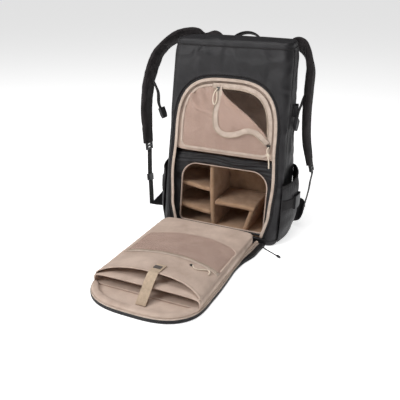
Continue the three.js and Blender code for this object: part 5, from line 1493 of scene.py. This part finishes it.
def make_chest_strap(side, sign, pad):
    """One end of the chest strap: webbing sewn flat on the inner side of the shoulder pad where it
    passes its anchor, then hanging along its route."""
    anchor = np.array(CHEST_ANCHORS[side]) * MM
    k = int(np.argmin(np.linalg.norm(pad - anchor, axis=1)))
    along = unit(pad[k + 1] - pad[k - 1])
    across = strap_across(sign, np.array([0.6]))[0]
    across = unit(across - along * np.dot(across, along))
    out = np.cross(along, across)
    inward = -out if out[0] * pad[k][0] > 0 else out
    begin = pad[k] + inward * (STRAP_THICK / 2 + 1.4 * MM)
    lying = begin + along * 14 * MM
    line = curve(np.vstack([begin, lying, lying + np.array(CHEST_ROUTES[side]) * MM]), 60)
    name = f"chest_webbing_{side}"
    carried(name + "_tape", line, rounded(20 * MM, 1.8 * MM, 10, 28), across, "webbing", [name])


def make_back_pad():
    """The back pad: two cushions side by side over a sewn channel, each swelling by the root of
    (1 - |u|^7)(1 - |v|^30), with level seams e^(-(z / 3 mm)^2), and blown up."""
    u = np.linspace(0, 1, 60)[None]
    v = np.linspace(0, 1, 140)[:, None]
    z = blend(PAD_LOW, PAD_TOP, v)
    d = np.minimum(z - PAD_LOW, PAD_TOP - z)
    cut = PAD_CORNER - np.sqrt(np.clip(PAD_CORNER**2 - np.clip(PAD_CORNER - d, 0, PAD_CORNER) ** 2, 0, None))
    x = blend(13 * MM, PAD_HALF - cut, u)
    puff = ((1 - np.abs(2 * u - 1) ** 7) * (1 - np.abs(2 * v - 1) ** 30)) ** 0.5
    rows = np.linspace(PAD_LOW + 96 * MM, PAD_TOP - 96 * MM, 3)
    seams = sum(np.exp(-(((z - row) / (3 * MM)) ** 2)) for row in rows)
    thick = 13 * MM * puff * (1 - 0.4 * seams) + 0.6 * MM
    for side, sign in SIDES:
        near = xyz(sign * x, DEPTH / 2 + GAP + thick, z)
        far = xyz(sign * x, DEPTH / 2 + GAP, z)
        piece = walled(f"back_pad_{side}_foam", near, far, "padding", ["back_pad"] if side == "left" else ())
        swollen(piece, cap=2.5 * MM)
    x = np.linspace(-13.5 * MM, 13.5 * MM, 12)[None]
    z = np.linspace(40 * MM, 462 * MM, 60)[:, None]
    cloth("back_pad_channel", xyz(x, DEPTH / 2 + 3 * MM, z), 4 * MM, "padding")


def make_handle():
    """The grab handle: webbing folded round a cord, bent in a half ellipse that leans back."""
    u = np.linspace(-np.pi / 2, np.pi / 2, 70)
    up = np.cos(u)
    y = DEPTH / 2 + 2.8 * MM
    loop = np.stack([HANDLE_HALF * np.sin(u), y + 24 * MM * up, HANDLE_FOOT + 8 * MM + 34 * MM * up], axis=1)
    foot = np.array([[-HANDLE_HALF, y, HANDLE_FOOT]])
    line = curve(np.vstack([foot, loop[3:-3:4], foot * (-1, 1, 1)]), 90)
    carried("grab_handle_tape", line, rounded(16 * MM, 5 * MM, 3, 24), (0, 0.9, -0.5), "webbing", ["grab_handle"])


make_back_pad()
for side, sign in SIDES:
    pad_line = make_shoulder(side, sign)
    web_line = make_webbing(side, sign, pad_line)
    make_wing(side, sign, web_line)
    make_chest_strap(side, sign, pad_line)
    make_side_pocket(side, sign)
    make_side_strap(side, sign)
    make_upper_strap(side, sign)
make_handle()


# ---------------------------------------------------------------- floor, light and camera
CAMERA_PLACE = (0.51324, -1.30224, 0.66425)
CAMERA_TURN = math.radians(24.863)  # about the upright axis
CAMERA_DROP = math.radians(22.935)  # below level
CAMERA_LENS = 48.35


FLOOR_HALF = 40.0
FLOOR_GLOW = 0.72
SURROUND_WAY = (-0.62, -0.35, 0.7)  # towards its brightest side
SURROUND = {"From Min": -0.7, "From Max": 1.0, "To Min": 0.42, "To Max": 0.95}
LIGHTS = (  # name, place, target, size and watts
    ("key_light", (-1.5, -1.9, 1.9), (0, -0.1, 0.2), 1.2, 46),
    ("fill_light", (1.2, -2.0, 0.7), (0, -0.3, 0.1), 1.8, 5),
    ("top_light", (0.1, -0.4, 2.6), (0, -0.15, 0.1), 1.6, 36),
)


def put_in(name, data, place_at=(0, 0, 0), turn=(0, 0, 0)):
    """An object with the given data, linked to the scene."""
    holder = bpy.data.objects.new(name, data)
    holder.location = place_at
    holder.rotation_euler = turn
    bpy.context.scene.collection.objects.link(holder)
    return holder


def make_camera():
    """The camera that took the picture, as fitted to the pack's lines."""
    camera = bpy.data.cameras.new("camera")
    camera.lens = CAMERA_LENS
    camera.sensor_width = 36
    camera.sensor_fit = "HORIZONTAL"
    camera.clip_end = 50
    turn = (math.pi / 2 - CAMERA_DROP, 0, CAMERA_TURN)
    bpy.context.scene.camera = put_in("camera", camera, CAMERA_PLACE, turn)


def make_light(name, place_at, target, size, power):
    """A square soft light aimed at a target."""
    light = bpy.data.lights.new(name, "AREA")
    light.shape = "SQUARE"
    light.size = size
    light.energy = power
    aim = np.array(target) - np.array(place_at)
    drop = math.acos(-aim[2] / np.linalg.norm(aim))
    put_in(name, light, place_at, (drop, 0, math.atan2(aim[1], aim[0]) - math.pi / 2))


def make_studio():
    """A pale floor, a pale surround that is brighter on the left, and three large soft lights."""
    inputs = {"Base Color": linear("#f4f4f4"), "Roughness": 0.9}
    inputs.update({"Emission Color": linear("#ffffff"), "Emission Strength": FLOOR_GLOW})
    mesh = bpy.data.meshes.new("floor")
    corners = [(x * FLOOR_HALF, y * FLOOR_HALF, 0) for x, y in ((-1, -1), (1, -1), (1, 1), (-1, 1))]
    mesh.from_pydata(corners, [], [(0, 1, 2, 3)])
    mesh.materials.append(shaded(*start("pale_studio_floor"), inputs))
    put_in("floor", mesh)
    world = bpy.data.worlds.new("surround")
    bpy.context.scene.world = world
    world.use_nodes = True
    tree = world.node_tree
    way = add(tree, "ShaderNodeTexCoord")
    aim = {0: way.outputs["Generated"], 1: SURROUND_WAY}
    aim = add(tree, "ShaderNodeVectorMath", aim, operation="DOT_PRODUCT")
    level = add(tree, "ShaderNodeMapRange", {"Value": aim.outputs["Value"], **SURROUND})
    tree.links.new(level.outputs[0], tree.nodes["Background"].inputs["Strength"])
    bpy.context.scene.view_settings.view_transform = "Standard"
    for row in LIGHTS:
        make_light(*row)


make_camera()
make_studio()
